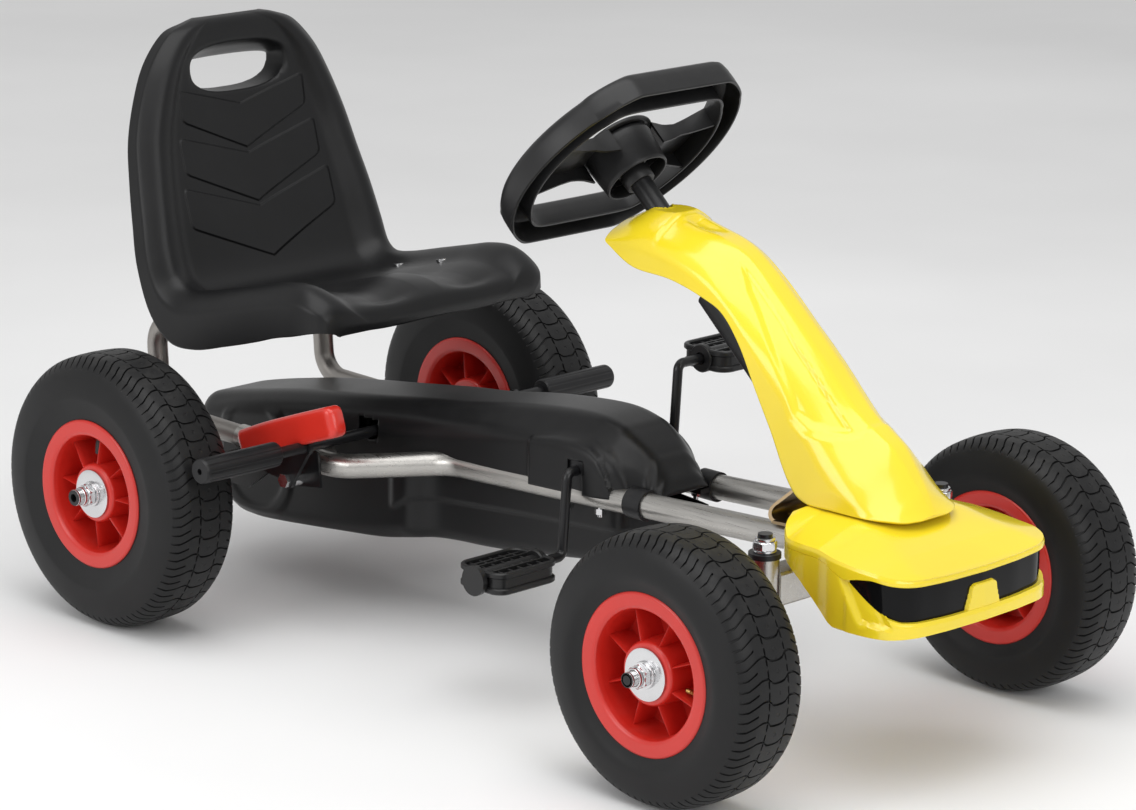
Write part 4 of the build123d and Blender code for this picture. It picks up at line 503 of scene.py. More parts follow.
def nut(flats, bore, low, high, origin, axis, turns=72):
    """Hexagon nut on an axis: round it the radius is that of a hexagon with the given width across
    flats, cut down at both faces to a circle as a chamfer cuts it."""
    axis, aside, across = turning_frame(axis)
    angle = np.linspace(0, 2 * np.pi, turns, endpoint=False)
    hexagon = flats / 2 / np.cos((angle + np.pi / 6) % (np.pi / 3) - np.pi / 6)
    cut = flats * 0.045
    rows = [(low, np.full(turns, bore)), (low, np.minimum(hexagon, flats * 0.485)),
            (low + cut, np.minimum(hexagon, flats * 0.545)), (low + 2 * cut, hexagon),
            (high - 2 * cut, hexagon), (high - cut, np.minimum(hexagon, flats * 0.545)),
            (high, np.minimum(hexagon, flats * 0.485)), (high, np.full(turns, bore))]
    round_axis = np.cos(angle)[:, None] * aside + np.sin(angle)[:, None] * across
    grid = np.stack([at * axis + reach[:, None] * round_axis for at, reach in rows])
    return skin(grid + origin, close_rows=True, close_columns=True)


def ring(inner, outer, low, high, origin, axis, edge=0.4 * MM, turns=72):
    """Washer or collar: a rectangle with eased corners turned about an axis."""
    corners = [(low, inner), (low, outer), (high, outer), (high, inner)]
    return turned(eased(corners, edge, 2, closed=True), origin, axis, turns, closed=True)


def threaded_end(radius, bore, low, high, origin, axis):
    """End of a hollow threaded axle: ridges one pitch apart, a chamfered mouth and a bore."""
    pitch = 1.5 * MM
    ridge = np.arange(low, high - 2 * MM, pitch / 2)
    depth = np.where(np.arange(len(ridge)) % 2, 0.5 * MM, 0)
    profile = [(low, bore)] + list(zip(ridge, radius - depth)) + [
        (high - 1.2 * MM, radius), (high, radius - 1.2 * MM), (high, bore), (high - 12 * MM, bore)]
    return turned(profile, origin, axis, 48, closed=True)


def wheel_fastening(origin, side, face, end, axle):
    """Shells of one wheel's outer fastening, from the boss's face to the axle's end."""
    axis = (side, 0, 0)
    return [
        ring(axle, 25 * MM, face, face + 2 * MM, origin, axis),
        ring(axle, 13 * MM, face + 2 * MM, face + 4.6 * MM, origin, axis, 0.8 * MM),
        nut(21 * MM, axle, face + 4.8 * MM, face + 13 * MM, origin, axis),
        ring(axle, 9.6 * MM, face + 13 * MM, face + 17.5 * MM, origin, axis, 1.6 * MM),
        threaded_end(axle + 0.3 * MM, axle - 2.4 * MM, face + 17 * MM, end, origin, axis),
    ]


SIDES = ((-1, "right"), (1, "left"))
BOSS_REACH = 36.1 * MM
UPRIGHT = (0, 0, 1)
seat_z = corners_of("kingpin_bushes")[1][2]
for side, name in SIDES:
    centre, _, _, _ = wheel_place("front_" + name)
    knuckle_low, knuckle_high = corners_of(name + "_knuckle")
    axle_end = knuckle_high[0] if side > 0 else -knuckle_low[0]
    hub = np.array([0, centre[1], centre[2]])
    shells = wheel_fastening(hub, side, abs(centre[0]) + BOSS_REACH, axle_end, 7 * MM)
    pin = np.array([side * 127 * MM, centre[1], 0])
    shells += [ring(7 * MM, 11 * MM, seat_z + 0.3 * MM, seat_z + 2.3 * MM, pin, UPRIGHT),
               nut(21 * MM, 7 * MM, seat_z + 2.4 * MM, seat_z + 11 * MM, pin, UPRIGHT),
               ring(7 * MM, 9.6 * MM, seat_z + 11 * MM, seat_z + 14.5 * MM, pin, UPRIGHT, 1.5 * MM)]
    tie = np.array([side * 120 * MM, centre[1] + 62 * MM, 0])
    under = corners_of(name + "_knuckle_nuts")[0][2]
    shells += [nut(10 * MM, 3 * MM, under + 0.2 * MM, under + 4.5 * MM, tie, UPRIGHT, 36),
               turned(np.array([(0.5, 0), (0.5, 3), (19, 3), (19, 5), (21.3, 4.4), (21.8, 0)]) * MM
                      + [under, 0], tie, UPRIGHT, 24)]
    made_nuts = piece(name + "_front_fastenings", shells, name + "_knuckle", zinc, crease=30.0)
    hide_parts(name + "_knuckle_nuts")
    # The black disc 11 mm down the bore is painted shade for the inside of the hollow axle.
    made_bore_shade = piece(name + "_front_axle_bore_painted_shade", [turned(
        np.array([(axle_end - 11 * MM, 0), (axle_end - 11 * MM, 4.5 * MM)]), hub, (side, 0, 0), 32)],
        name + "_knuckle", bore_painted_shade, closed=False)

axle_end = corners_of("rear_axle")[1][0] - 0.02 * MM
centre, _, _, _ = wheel_place("rear_left")
hub = np.array([0, centre[1], centre[2]])
shells = []
for side in (-1, 1):
    shells += wheel_fastening(hub, side, abs(centre[0]) + BOSS_REACH, axle_end, 8 * MM)
made_nuts = piece("rear_fastenings", shells, "rear_axle", zinc, crease=30.0)
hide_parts("rear_axle_nuts")

# ---- rails and seat stand -----------------------------------------------------------------------
# Two round steel rails run from the front beam to the rear axle, splayed behind the pedals. They
# are brushed bare steel under clear lacquer; the bent seat stand is thinner tube in a duller finish.


def steel_finish(name, colour, roughness, along_scale):
    """Bare steel with drawing lines: a noise squeezed across the kart and stretched along it sets
    small changes of roughness and relief."""
    made = finish(name, colour, roughness, (1200.0, 0.5), (0.18, 9.0, 0.04), bump=0.05, metallic=1.0)
    tree = made.node_tree
    place = node(tree, "TexCoord")
    squeezed = node(tree, "Mapping", {"Vector": place.outputs["Object"], "Scale": along_scale})
    lines = node(tree, "TexNoise", {"Vector": squeezed.outputs[0], "Scale": 1.0, "Detail": 5.0,
                                    "Roughness": 0.7})
    streak = mapped(tree, lines.outputs["Fac"], 0.3, 0.7, roughness - 0.08, roughness + 0.14)
    tree.links.new(streak, tree.nodes["Principled BSDF"].inputs["Roughness"])
    more_relief(tree, 0.18, 0.0003, lines.outputs["Fac"])
    return made


rail_steel = steel_finish("rail_brushed_steel", (0.50, 0.485, 0.46), 0.30, (700.0, 14.0, 700.0))
stand_steel = steel_finish("stand_dull_steel", (0.36, 0.34, 0.32), 0.40, (500.0, 30.0, 60.0))
coat_black = finish("powder_coat_black", (0.008, 0.008, 0.009), 0.30, (1100.0, 0.3), (0.14, 16.0, 0.03),
                    bump=0.35, bump_depth=0.0003, specular=0.4)
nylon_black = finish("nylon_black", (0.009, 0.009, 0.010), 0.42, (900.0, 0.3), (0.10, 20.0, 0.03),
                     bump=0.15, specular=0.35)


def bent(points, bend, steps=10):
    """Run of points with each inner corner turned into an arc of the bend's radius: the arc leaves a
    leg at the radius times the tangent of half the turn from the corner."""
    points = np.asarray(points, float)
    run = [points[0]]
    for before, corner_point, after in zip(points, points[1:], points[2:]):
        back = (before - corner_point) / np.linalg.norm(before - corner_point)
        ahead = (after - corner_point) / np.linalg.norm(after - corner_point)
        turn = np.pi - np.arccos(np.clip(back @ ahead, -1, 1))
        reach = bend * np.tan(turn / 2)
        middle = (back + ahead) / np.linalg.norm(back + ahead)
        heart = corner_point + middle * bend / np.cos(turn / 2)
        start = corner_point + back * reach - heart
        end = corner_point + ahead * reach - heart
        share = np.linspace(0, 1, steps + 1)[:, None]
        run += list(heart + (np.sin((1 - share) * turn) * start + np.sin(share * turn) * end)
                    / np.sin(turn))
    run.append(points[-1])
    return np.array(run)


def square_to(ahead, up):
    """Unit ways square to each unit way ahead: the one to its side, and the part of up square to it."""
    up = np.asarray(up, float)
    rise = up - ahead * (ahead @ up)[:, None]
    rise /= np.linalg.norm(rise, axis=1, keepdims=True)
    return np.cross(rise, ahead), rise


def tube(run, radius, wall, up=(0, 0, 1), turns=32):
    """Open-ended tube along a run of points: the outer circle carried along it and, at both ends, the
    rim and 20 mm of the bore."""
    run = np.asarray(run, float)
    ahead = (run[1] - run[0]) / np.linalg.norm(run[1] - run[0])
    back = (run[-2] - run[-1]) / np.linalg.norm(run[-2] - run[-1])
    edge = 0.5 * MM
    centres = np.vstack([run[0] + ahead * 20 * MM, run[0] + ahead * 0.01 * MM, run[0], run[0] + ahead * edge,
                         run[1:-1], run[-1] + back * edge, run[-1], run[-1] + back * 0.01 * MM,
                         run[-1] + back * 20 * MM])
    radii = np.full(len(centres), radius)
    radii[[0, 1, -2, -1]] = radius - wall
    radii[[2, -3]] = radius - edge
    straight = np.vstack([run[0], run[0], run[0], run[0] + ahead * edge, run[1:-1], run[-1] + back * edge,
                          run[-1], run[-1], run[-1]])
    turning = np.gradient(straight, axis=0)
    turning[:3] = ahead
    turning[-3:] = -back
    turning /= np.linalg.norm(turning, axis=1, keepdims=True)
    aside, rise = square_to(turning, up)
    angle = np.linspace(0, 2 * np.pi, turns, endpoint=False)[None, :, None]
    grid = centres[:, None] + radii[:, None, None] * (np.cos(angle) * aside[:, None]
                                                      + np.sin(angle) * rise[:, None])
    return skin(grid, close_columns=True, capped=True)


RAIL_RADIUS = 12.7 * MM
TUBE_WALL = 1.5 * MM
for side, name in SIDES:
    low, high = corners_of(name + "_rail")
    inner = min(abs(low[0]), abs(high[0])) + RAIL_RADIUS
    outer = max(abs(low[0]), abs(high[0])) - RAIL_RADIUS
    front_z = high[2] - RAIL_RADIUS
    run = bent([(side * inner, low[1], front_z), (side * inner, 122 * MM, front_z - 24.7 * MM),
                (side * outer, 222 * MM, front_z - 36.2 * MM), (side * outer, high[1], front_z - 33.2 * MM)],
               60 * MM)
    made_rail = piece(name + "_rail_tube", [tube(run, RAIL_RADIUS, TUBE_WALL)], "frame", rail_steel)
    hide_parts(name + "_rail")

LEG_RADIUS = 11 * MM
PAN_TILT = radians(13.7)
leg_x = corners_of("seat_stand")[1][0] - LEG_RADIUS


def leg_height(y):
    """Height of a seat leg's centre line under the pan, which slopes down to the back."""
    return (330 - (y / MM - 345) * np.tan(PAN_TILT) - 5 - 11.3 / np.cos(PAN_TILT)) * MM


shells = []
for side in (-1, 1):
    run = bent([(side * leg_x, 332 * MM, 174.2 * MM), (side * leg_x, 503 * MM, 177.6 * MM),
                (side * leg_x, 511 * MM, leg_height(511 * MM)),
                (side * leg_x, 255 * MM, leg_height(255 * MM))], 30 * MM)
    shells.append(tube(run, LEG_RADIUS, TUBE_WALL, up=(1, 0, 0)))
tie_y = 330 * MM
tie_z = leg_height(tie_y)
tie = [(share * (leg_x - 9 * MM), tie_y, tie_z) for share in (-1, 0, 1)]
shells.append(tube(tie, 8 * MM, TUBE_WALL))
weld = np.stack([np.linspace(-2.2, 2.2, 9), 8 + 2.2 * np.cos(np.linspace(-1.57, 1.57, 9))], -1) * MM
weld = np.vstack([weld, [(2.2 * MM, 6 * MM), (-2.2 * MM, 6 * MM)]])
for side in (-1, 1):
    shells.append(turned(weld, (side * (leg_x - 12 * MM), tie_y, tie_z), (1, 0, 0), 32, closed=True))
made_stand = piece("seat_stand_tubes", shells, "frame", stand_steel)
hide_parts("seat_stand")

# ---- front beam, brackets, bearings and bolts ---------------------------------------------------
# Welded steel parts between the rails, the black nylon bearing blocks and bushes that carry the
# crank, the column and the kingpins, and the zinc-plated screws that hold them.


def keep(name, material):
    """Show a solid as it is, in one material."""
    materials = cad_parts[name].data.materials
    materials.clear()
    materials.append(material)


bracket_brown = finish("bracket_zinc_yellow", (0.30, 0.22, 0.13), 0.30, (900.0, 0.6), (0.2, 14.0, 0.08),
                       metallic=1.0)
chain_steel = finish("chain_oiled_steel", (0.16, 0.15, 0.14), 0.35, (700.0, 0.5), (0.2, 60.0, 0.0),
                     metallic=1.0)
for kept_material, names in (
        (rail_steel, ("front_beam", "cross_tube")),
        (bracket_brown, ("column_bracket",)),
        (coat_black, ("rear_hangers", "rear_axle", "brake_brackets", "steering_column", "crank",
                      "left_knuckle", "right_knuckle", "left_tie_rod", "right_tie_rod")),
        (nylon_black, ("kingpin_bushes", "column_bush", "crank_blocks", "guard_clamps", "column_cover",
                       "front_right_bushes", "front_left_bushes", "rear_right_bushes", "rear_left_bushes")),
        (zinc, ("rear_bearings", "frame_bolts", "seat_bolts", "brake_pins")),
        (chain_steel, ("chain", "crank_sprocket", "axle_sprocket"))):
    for name in names:
        keep(name, kept_material)

# ---- seat ---------------------------------------------------------------------------------------
# One blow-moulded bucket of black polyethylene: a skirt all round, thick side bolsters, two hollows
# for the legs, three arrow panels on the back and a hand slot through it.

SEAT_ROWS = np.array([
    (201, 316, 201, 315, 134, 134, 10, 0.5, 90, 0.2),
    (197, 328, 199, 319, 142, 142, 12, 5, 105, 2),
    (203, 345, 203, 322, 154, 155, 18, 8, 126, 6),
    (219, 357, 216, 320, 162, 162, 22, 12, 134, 11),
    (240, 364, 238, 314, 165, 165, 24, 16, 138, 14),
    (268, 362.5, 267, 307, 165, 165, 24, 18, 139, 14),
    (300, 355, 298, 297, 165, 165, 24, 18, 139, 14),
    (345, 344, 344, 284, 165, 165, 24, 18, 139, 14),
    (390, 333, 392, 272, 165, 165, 24, 18, 139, 14),
    (420, 329.5, 432, 273, 165.5, 165.5, 24, 18, 139, 14),
    (439, 339, 462, 299, 167, 167, 24, 18, 140, 13),
    (450, 362, 481, 346, 167, 168, 24, 16, 139, 12),
    (463, 400, 495, 388, 162, 162, 24, 15, 135, 11),
    (477, 440, 508, 430, 155, 155, 24, 15, 128, 10),
    (489, 480, 519, 472, 147, 147, 24, 15, 119, 9),
    (498, 520, 527, 515, 132, 132, 24, 14, 104, 8),
    (504, 552, 532, 550, 114, 114, 24, 13, 88, 6),
    (510.5, 578, 533.5, 578, 88, 88, 22, 10, 62, 3),
    (517, 589, 532.5, 587, 62, 62, 16, 6, 40, 1),
    (527, 592, 533, 591, 46, 46, 12, 2, 26, 0.3),
])
SLOT_HEART = np.array([0.0, 540.0])
SLOT_HALF = np.array([66.0, 23.0, 29.0])
SLOT_POWER = 2.6


def evenly(stations, row_count, fine):
    """Columns of a station table at even distances along its crown, whose (y, z) are the first two."""
    dense = through(stations, np.linspace(0, len(stations) - 1, fine))
    reach = reach_of(dense[:, :2])
    return along(dense, np.linspace(0, reach[-1], row_count), reach).T


def section_points(x, depth, crown_y, crown_z, edge_y, edge_z):
    """Points of rows at x across the kart and at a depth along the line from each row's crown point to
    its edge point."""
    deep = np.hypot(edge_y - crown_y, edge_z - crown_z)
    y = crown_y[:, None] + depth * ((edge_y - crown_y) / deep)[:, None]
    z = crown_z[:, None] + depth * ((edge_z - crown_z) / deep)[:, None]
    return np.stack([x, y, z], -1)


def seat_grid(row_count, floor_count):
    """Bucket as a grid in millimetres. Each row is a half section, from the skirt's edge over the
    bolster to the middle of the floor, mirrored; it lies in the plane of its crown point, its edge
    point and the kart's width. Rows follow one another along the crown at even distances."""
    crown_y, crown_z, edge_y, edge_z, crown_half, edge_half, run, drop, dish_half, dish = evenly(
        SEAT_ROWS, row_count, 1200)
    deep = np.hypot(edge_y - crown_y, edge_z - crown_z)
    zero = np.zeros_like(deep)
    skirt = [np.stack([edge_half + (crown_half - edge_half) * part, deep + (drop - deep) * part], -1)
             for part in (0, 0.25, 0.5, 0.75)]
    floor_edge = dish_half - dish * 1.6 - 4
    corners = skirt + [np.stack(pair, -1) for pair in (
        (crown_half, drop), (crown_half - run * 0.62, zero), (dish_half - dish * 0.2, zero),
        (floor_edge, dish))]
    corners += [np.stack([floor_edge * part, dish], -1)
                for part in np.linspace(1, 0, floor_count, endpoint=False)[1:]]
    corners = np.stack(corners, 1)
    softness = np.concatenate([[0, 0, 0, 0, 14, 13, 12, 16], np.zeros(floor_count - 1)])
    rows = np.stack([eased(row, softness, 5) for row in corners])
    share = np.linspace(0, 1, rows.shape[1])
    half = np.stack([along(row, np.linspace(0, 1, 74), share) for row in rows])
    x, depth = half[..., 0], half[..., 1]
    leg = np.exp(-((x - 60) / 34) ** 2) - 0.45 * np.exp(-(x / 30) ** 2)
    fade = np.clip((345 - crown_y) / 70, 0, 1) * np.clip((crown_y - 196) / 26, 0, 1)
    inside = np.clip((dish_half[:, None] + 8 - x) / 24, 0, 1)
    depth = depth + 8.5 * leg * (fade * fade * (3 - 2 * fade))[:, None] * inside ** 2 * (3 - 2 * inside)
    belly = np.clip((crown_z - 345) / 60, 0, 1) * np.clip((585 - crown_z) / 60, 0, 1)
    depth = depth + 6.0 * belly[:, None] * np.cos(np.clip(x / 120, 0, 1) * np.pi / 2) ** 2
    x = np.concatenate([x, -x[:, -2::-1]], 1)
    depth = np.concatenate([depth, depth[:, -2::-1]], 1)
    return section_points(x, depth, crown_y, crown_z, edge_y, edge_z)


def slot_level(x, z):
    """1 on the hand slot's outline, less inside it: the sum of the shares of its half width and of
    its half height, above or below, each raised to the slot's power."""
    up = z - SLOT_HEART[1]
    tall = np.where(up > 0, SLOT_HALF[1], SLOT_HALF[2])
    return (np.abs(x) / SLOT_HALF[0]) ** SLOT_POWER + (np.abs(up) / tall) ** SLOT_POWER


def walled(name, shells, body, material, thickness, crease=32.0):
    """Piece whose open shells get a wall of the given thickness on their inner side."""
    made = piece(name, shells, body, material, crease=crease, closed=False)
    wall = made.modifiers.new("wall", "SOLIDIFY")
    wall.thickness = thickness
    wall.offset = -1.0
    return made


seat_low, seat_high = corners_of("seat")
grid = seat_grid(210, 9)
level = slot_level(grid[..., 0], grid[..., 2])
on_back = grid[..., 1] > 470
inside_slot = (level < 1) & on_back
shrink = np.where(inside_slot, level ** (-1 / SLOT_POWER), 1.0)
grid[..., 0] *= shrink
grid[..., 2] = SLOT_HEART[1] + (grid[..., 2] - SLOT_HEART[1]) * shrink
near_lip = np.where(on_back, np.clip((slot_level(grid[..., 0], grid[..., 2]) - 1) / 0.32, 0, 1), 1)
grid[..., 1] += 2.2 * (1 - near_lip) ** 2

# The slot's walls: the points left on its edge, in turn, drawn back and together behind it.
rows, columns = grid.shape[:2]
closed_cells = ~cells_inside(inside_slot)
kept = np.zeros((rows, columns), bool)
for down, right in ((0, 0), (1, 0), (0, 1), (1, 1)):
    kept[down:rows - 1 + down, right:columns - 1 + right] |= closed_cells
lip = np.argwhere(kept & inside_slot)
lip_angle = np.arctan2(grid[lip[:, 0], lip[:, 1], 2] - SLOT_HEART[1], grid[lip[:, 0], lip[:, 1], 0])
lip = lip[np.argsort(-lip_angle)]
lip_ring = grid[lip[:, 0], lip[:, 1]]
reach_back = np.array([0, 1.5, 4, 8, 12, 16, 20, 23, 25])
pull = np.array([0, 0.6, 1.6, 2.8, 4.0, 5.2, 6.4, 7.0, 7.4])
upper = np.clip((lip_ring[:, 2] - SLOT_HEART[1]) / SLOT_HALF[1], 0, 1)
walls = []
for back, drawn in zip(reach_back, pull):
    ring_at = lip_ring.copy()
    ring_at[:, 1] += back
    ring_at[:, 2] -= drawn * 2.4 * upper
    ring_at[:, 0] *= 1 - drawn / 160
    walls.append(ring_at)
scale = (seat_high - seat_low) / np.array([336, 336, 320])
origin = (seat_low + seat_high) / 2 - np.array([0, 366, 432]) * scale
shells = [skin(grid * scale + origin, hole=inside_slot),
          skin(np.stack(walls) * scale + origin, close_columns=True)]

seat_black = finish("seat_polyethylene_black", (0.005, 0.005, 0.0055), 0.38, (1600.0, 0.2),
                    (0.10, 10.0, 0.0), bump=0.35, bump_depth=0.0003, specular=0.32)

# Arrow panel: height 1 inside and 0 outside an outline whose top and bottom edges rise evenly from
# the middle to the sides, over an edge a few millimetres wide.
panel_group, panel_in, panel_out = shared_group(
    "arrow_panel", (("Top", 0.5), ("Top Slope", 0.3), ("Bottom", 0.45), ("Bottom Slope", 0.4),
                    ("Half Width", 0.09)), (("Height", "NodeSocketFloat"),))
panel_place = node(panel_group, "TexCoord")
panel_split = node(panel_group, "SeparateXYZ", {0: panel_place.outputs["Object"]})
off_middle = maths(panel_group, "ABSOLUTE", panel_split.outputs["X"])
top_edge = maths(panel_group, "MULTIPLY_ADD", off_middle, panel_in.outputs["Top Slope"],
                 panel_in.outputs["Top"])
bottom_edge = maths(panel_group, "MULTIPLY_ADD", off_middle, panel_in.outputs["Bottom Slope"],
                    panel_in.outputs["Bottom"])
below_top = maths(panel_group, "SUBTRACT", top_edge, panel_split.outputs["Z"])
above_bottom = maths(panel_group, "SUBTRACT", panel_split.outputs["Z"], bottom_edge)
inside_side = maths(panel_group, "SUBTRACT", panel_in.outputs["Half Width"], off_middle)
nearest = maths(panel_group, "SMOOTH_MIN", below_top, above_bottom, 0.010)
nearest_edge = maths(panel_group, "SMOOTH_MIN", nearest, inside_side, 0.010)
panel_height = mapped(panel_group, nearest_edge, -0.0016, 0.0016, interpolation_type="SMOOTHSTEP")
panel_group.links.new(panel_height, panel_out.inputs["Height"])

seat_tree = seat_black.node_tree
panels = [placed_group(seat_tree, panel_group, Top=top, Top_Slope=top_slope, Bottom=bottom,
                       Bottom_Slope=bottom_slope, Half_Width=half_width)
          for top, top_slope, bottom, bottom_slope, half_width in (
              (0.497, 0.27, 0.451, 0.42, 0.087), (0.445, 0.28, 0.395, 0.415, 0.095),
              (0.390, 0.30, 0.339, 0.40, 0.102))]
upper_two = maths(seat_tree, "ADD", panels[0].outputs[0], panels[1].outputs[0])
all_three = maths(seat_tree, "ADD", upper_two, panels[2].outputs[0])
seat_place = node(seat_tree, "TexCoord")
seat_split = node(seat_tree, "SeparateXYZ", {0: seat_place.outputs["Object"]})
back_only = mapped(seat_tree, seat_split.outputs["Y"], 0.430, 0.440)
more_relief(seat_tree, 1.0, 0.0022, maths(seat_tree, "MULTIPLY", all_three, back_only))

made_seat = walled("seat_bucket", shells, "frame", seat_black, 3.5 * MM, crease=60.0)
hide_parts("seat")

# ---- tower --------------------------------------------------------------------------------------
# Glossy yellow polypropylene hood over the steering column, moulded in one open-bottomed piece. It
# has a collar where the column comes out, a hollow panel on each side and a broader foot that
# screws to the nose.

TOWER_ROWS = np.array([
    (-84.5, 463.5, -86, 451, 45.5, 48, 28, 11),
    (-91, 467.5, -92, 447, 47, 49, 30, 14),
    (-130, 483, -126, 431, 48, 50, 33, 22),
    (-175, 475.5, -175, 427, 48, 50, 33, 24),
    (-223, 462, -216, 417, 48, 50, 32, 26),
    (-254, 442, -244, 405, 48, 50, 31, 26),
    (-284, 417, -267, 378, 48, 50, 30, 26),
    (-313, 392, -287, 342, 48, 50, 29, 26),
    (-344, 364, -313, 299, 48, 51, 29, 26),
    (-370, 338, -342, 256, 50, 54.5, 32, 28),
    (-388, 323, -364, 243.4, 52, 56, 36, 32),
    (-406, 312, -390, 243.4, 53.5, 57, 40, 36),
    (-424, 301, -414, 243.4, 53.5, 57, 42, 38),
    (-440, 284, -434, 243.4, 50, 55, 41, 32),
    (-453, 268, -449, 243.4, 45, 50, 38, 21),
    (-462, 257.5, -460, 243.4, 38, 43, 33, 12),
    (-468.5, 250, -467.5, 243.4, 29, 33, 26, 5.5),
    (-471.8, 245.5, -471.8, 243.4, 17, 19, 16, 1.8),
])
WHEEL_HUB = np.array([0, -58, 528.0])
WHEEL_AXIS = np.array([0, 0.73728, 0.67559])
COLUMN_HOLE = 15.0


def moulded(stations, row_count, column_count, softness):
    """Open moulding in millimetres and, for each of its points, the distance across from the crown's
    middle and the depth below the crown. A station gives the crown's (y, z), the skirt's (y, z), the
    half widths there, and the run and drop of the shoulder. Each row is a half section with eased
    corners, evenly spaced, mirrored."""
    crown_y, crown_z, edge_y, edge_z, crown_half, edge_half, run, drop = evenly(stations, row_count, 1000)
    deep = np.hypot(edge_y - crown_y, edge_z - crown_z)
    drop = np.minimum(drop, deep * 0.9)
    corners = np.stack([np.stack([edge_half, deep], -1), np.stack([crown_half, drop], -1),
                        np.stack([crown_half - run, 0 * deep], -1), np.stack([0 * deep, 0 * deep], -1)], 1)
    rows = [eased(row, [0, softness, softness, 0], 8) for row in corners]
    share = np.linspace(0, 1, column_count)
    half = np.stack([along(row, share * reach_of(row)[-1]) for row in rows])
    x, depth = half[..., 0], half[..., 1]
    arc = np.stack([reach_of(row) for row in half])
    arc = arc[:, -1:] - arc
    x = np.concatenate([-x, x[:, -2::-1]], 1)
    depth = np.concatenate([depth, depth[:, -2::-1]], 1)
    across = np.concatenate([-arc, arc[:, -2::-1]], 1)
    return section_points(x, depth, crown_y, crown_z, edge_y, edge_z), across, depth


def pushed(grid, amount):
    """Grid with each point moved along the surface's normal, the cross product of its two ways."""
    down, right = np.gradient(grid, axis=0), np.gradient(grid, axis=1)
    normal = np.cross(down, right)
    normal /= np.maximum(np.linalg.norm(normal, axis=-1, keepdims=True), 1e-9)
    return grid + normal * amount[..., None]


def step(low, high, value):
    """0 below low, 1 above high and a smooth rise between."""
    share = np.clip((value - low) / (high - low), 0, 1)
    return share * share * (3 - 2 * share)


tower_yellow = finish("tower_yellow_gloss", (0.95, 0.72, 0.022), 0.20, (260.0, 0.5), (0.06, 10.0, 0.0),
                      bump=0.04, bump_depth=0.0002, coat=0.5, coat_roughness=0.08)

tower_low, tower_high = corners_of("tower")
tower_grid, across, _ = moulded(TOWER_ROWS, 230, 64, 17)
row_y = tower_grid[:, tower_grid.shape[1] // 2, 1][:, None]
side_across = np.abs(across)
# The hollow side panels: a long leaf from under the bend down to the foot, between two creases.
leaf_low = np.interp(-row_y, [228, 275, 296, 317, 397], [17, 18.5, 19.5, 23, 24.5])
leaf_high = np.interp(-row_y, [228, 245, 261, 279, 311, 342, 351, 365, 376, 385, 397],
                      [17, 26, 36, 41, 53, 64, 69, 62, 51, 40.5, 24.5])
leaf = step(0, 5, side_across - leaf_low) * step(0, 11, leaf_high - side_across)
# The collar round the column ends in a small step, with a scoop in front of it.
collar = 3.0 * step(0, 5, 153 + row_y) * step(60, 34, side_across)
scoop = -5.5 * np.exp(-(across / 13) ** 2) * step(155, 163, -row_y) * step(0, 40, 212 + row_y)
# The ridge along the crown, and the foot that stands out from the hood above it.
crest = 1.5 * step(17, 6, side_across) * step(205, 250, -row_y) * step(0, 20, 405 + row_y)
foot = 1.8 * step(0, 8, side_across - leaf_high) * step(338, 362, -row_y) + 1.8 * step(395, 401, -row_y)
foot = np.minimum(foot, 1.8) * step(0, 14, 470 + row_y)
shaped = pushed(tower_grid, collar + scoop + crest + foot - 3.4 * leaf)
shaped = np.clip(shaped, tower_low / MM, tower_high / MM)
# The column's hole: points nearer the wheel's axis than its radius move out to it.
on_axis = WHEEL_HUB + ((shaped - WHEEL_HUB) @ WHEEL_AXIS)[..., None] * WHEEL_AXIS
off_axis = np.linalg.norm(shaped - on_axis, axis=-1)
in_hole = (off_axis < COLUMN_HOLE) & (shaped[..., 2] > 440)
spread = np.where(in_hole, COLUMN_HOLE / np.maximum(off_axis, 0.5), 1.0)[..., None]
shaped = on_axis + (shaped - on_axis) * spread
made_tower = walled("tower_hood", [skin(shaped * MM, capped=True, hole=in_hole)], "frame", tower_yellow,
                    2.6 * MM)
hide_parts("tower")

# ---- nose and visor -----------------------------------------------------------------------------
# The bumper, the same yellow moulding: a lid that falls away to the front and the sides, and a wall
# below its edge with a hollow cheek on each side. A black gloss visor lies in a recess of the wall
# that wraps round both corners, and a tab of the lower lip stands in front of its middle.

NOSE_EDGE = np.array([(-70, -357), (-92, -367), (-108, -383), (-112, -405), (-114, -428), (-119, -450),
                      (-119.6, -474), (-118, -498), (-113, -513), (-103, -523), (-88, -530), (-50, -534.5),
                      (0, -536)])
NOSE_CROWN = np.array([(-536, 211.5), (-530.5, 213), (-523, 216), (-514, 219.5), (-500, 225), (-475, 233),
                       (-450, 239.5), (-428, 242.6), (-383, 243), (-357, 243)])
NOSE_DROP = np.array([(-536, 0), (-530.5, 0.5), (-523, 2.5), (-514, 4.5), (-500, 7.5), (-475, 14),
                      (-450, 18), (-383, 19), (-368, 11), (-357, 5)])
NOSE_FLAT = np.array([(-536, 0.9), (-523, 0.85), (-514, 0.75), (-500, 0.65), (-475, 0.55), (-383, 0.5),
                      (-368, 0.6), (-357, 0.75)])
NOSE_FOOT = np.array([(-536, 158.5), (-514, 157), (-475, 156.3), (-452, 156.5), (-446, 159), (-428, 172),
                      (-405, 190), (-383, 204), (-357, 207)])
VISOR_FOOT = np.array([(-536, 171), (-523, 173), (-512, 177.5), (-500, 184), (-488, 191), (-464, 207)])
MOULDING_WALL = 2.2 * MM
LIP = np.array([(-536, 4.5), (-495, 5), (-480, 8), (-464, 13), (-440, 6), (-357, 5)])
RECESS = 6.0


def table_at(table, y):
    """Value of a table of (y, value) rows at y, straight between them."""
    return np.interp(y, table[:, 0], table[:, 1])


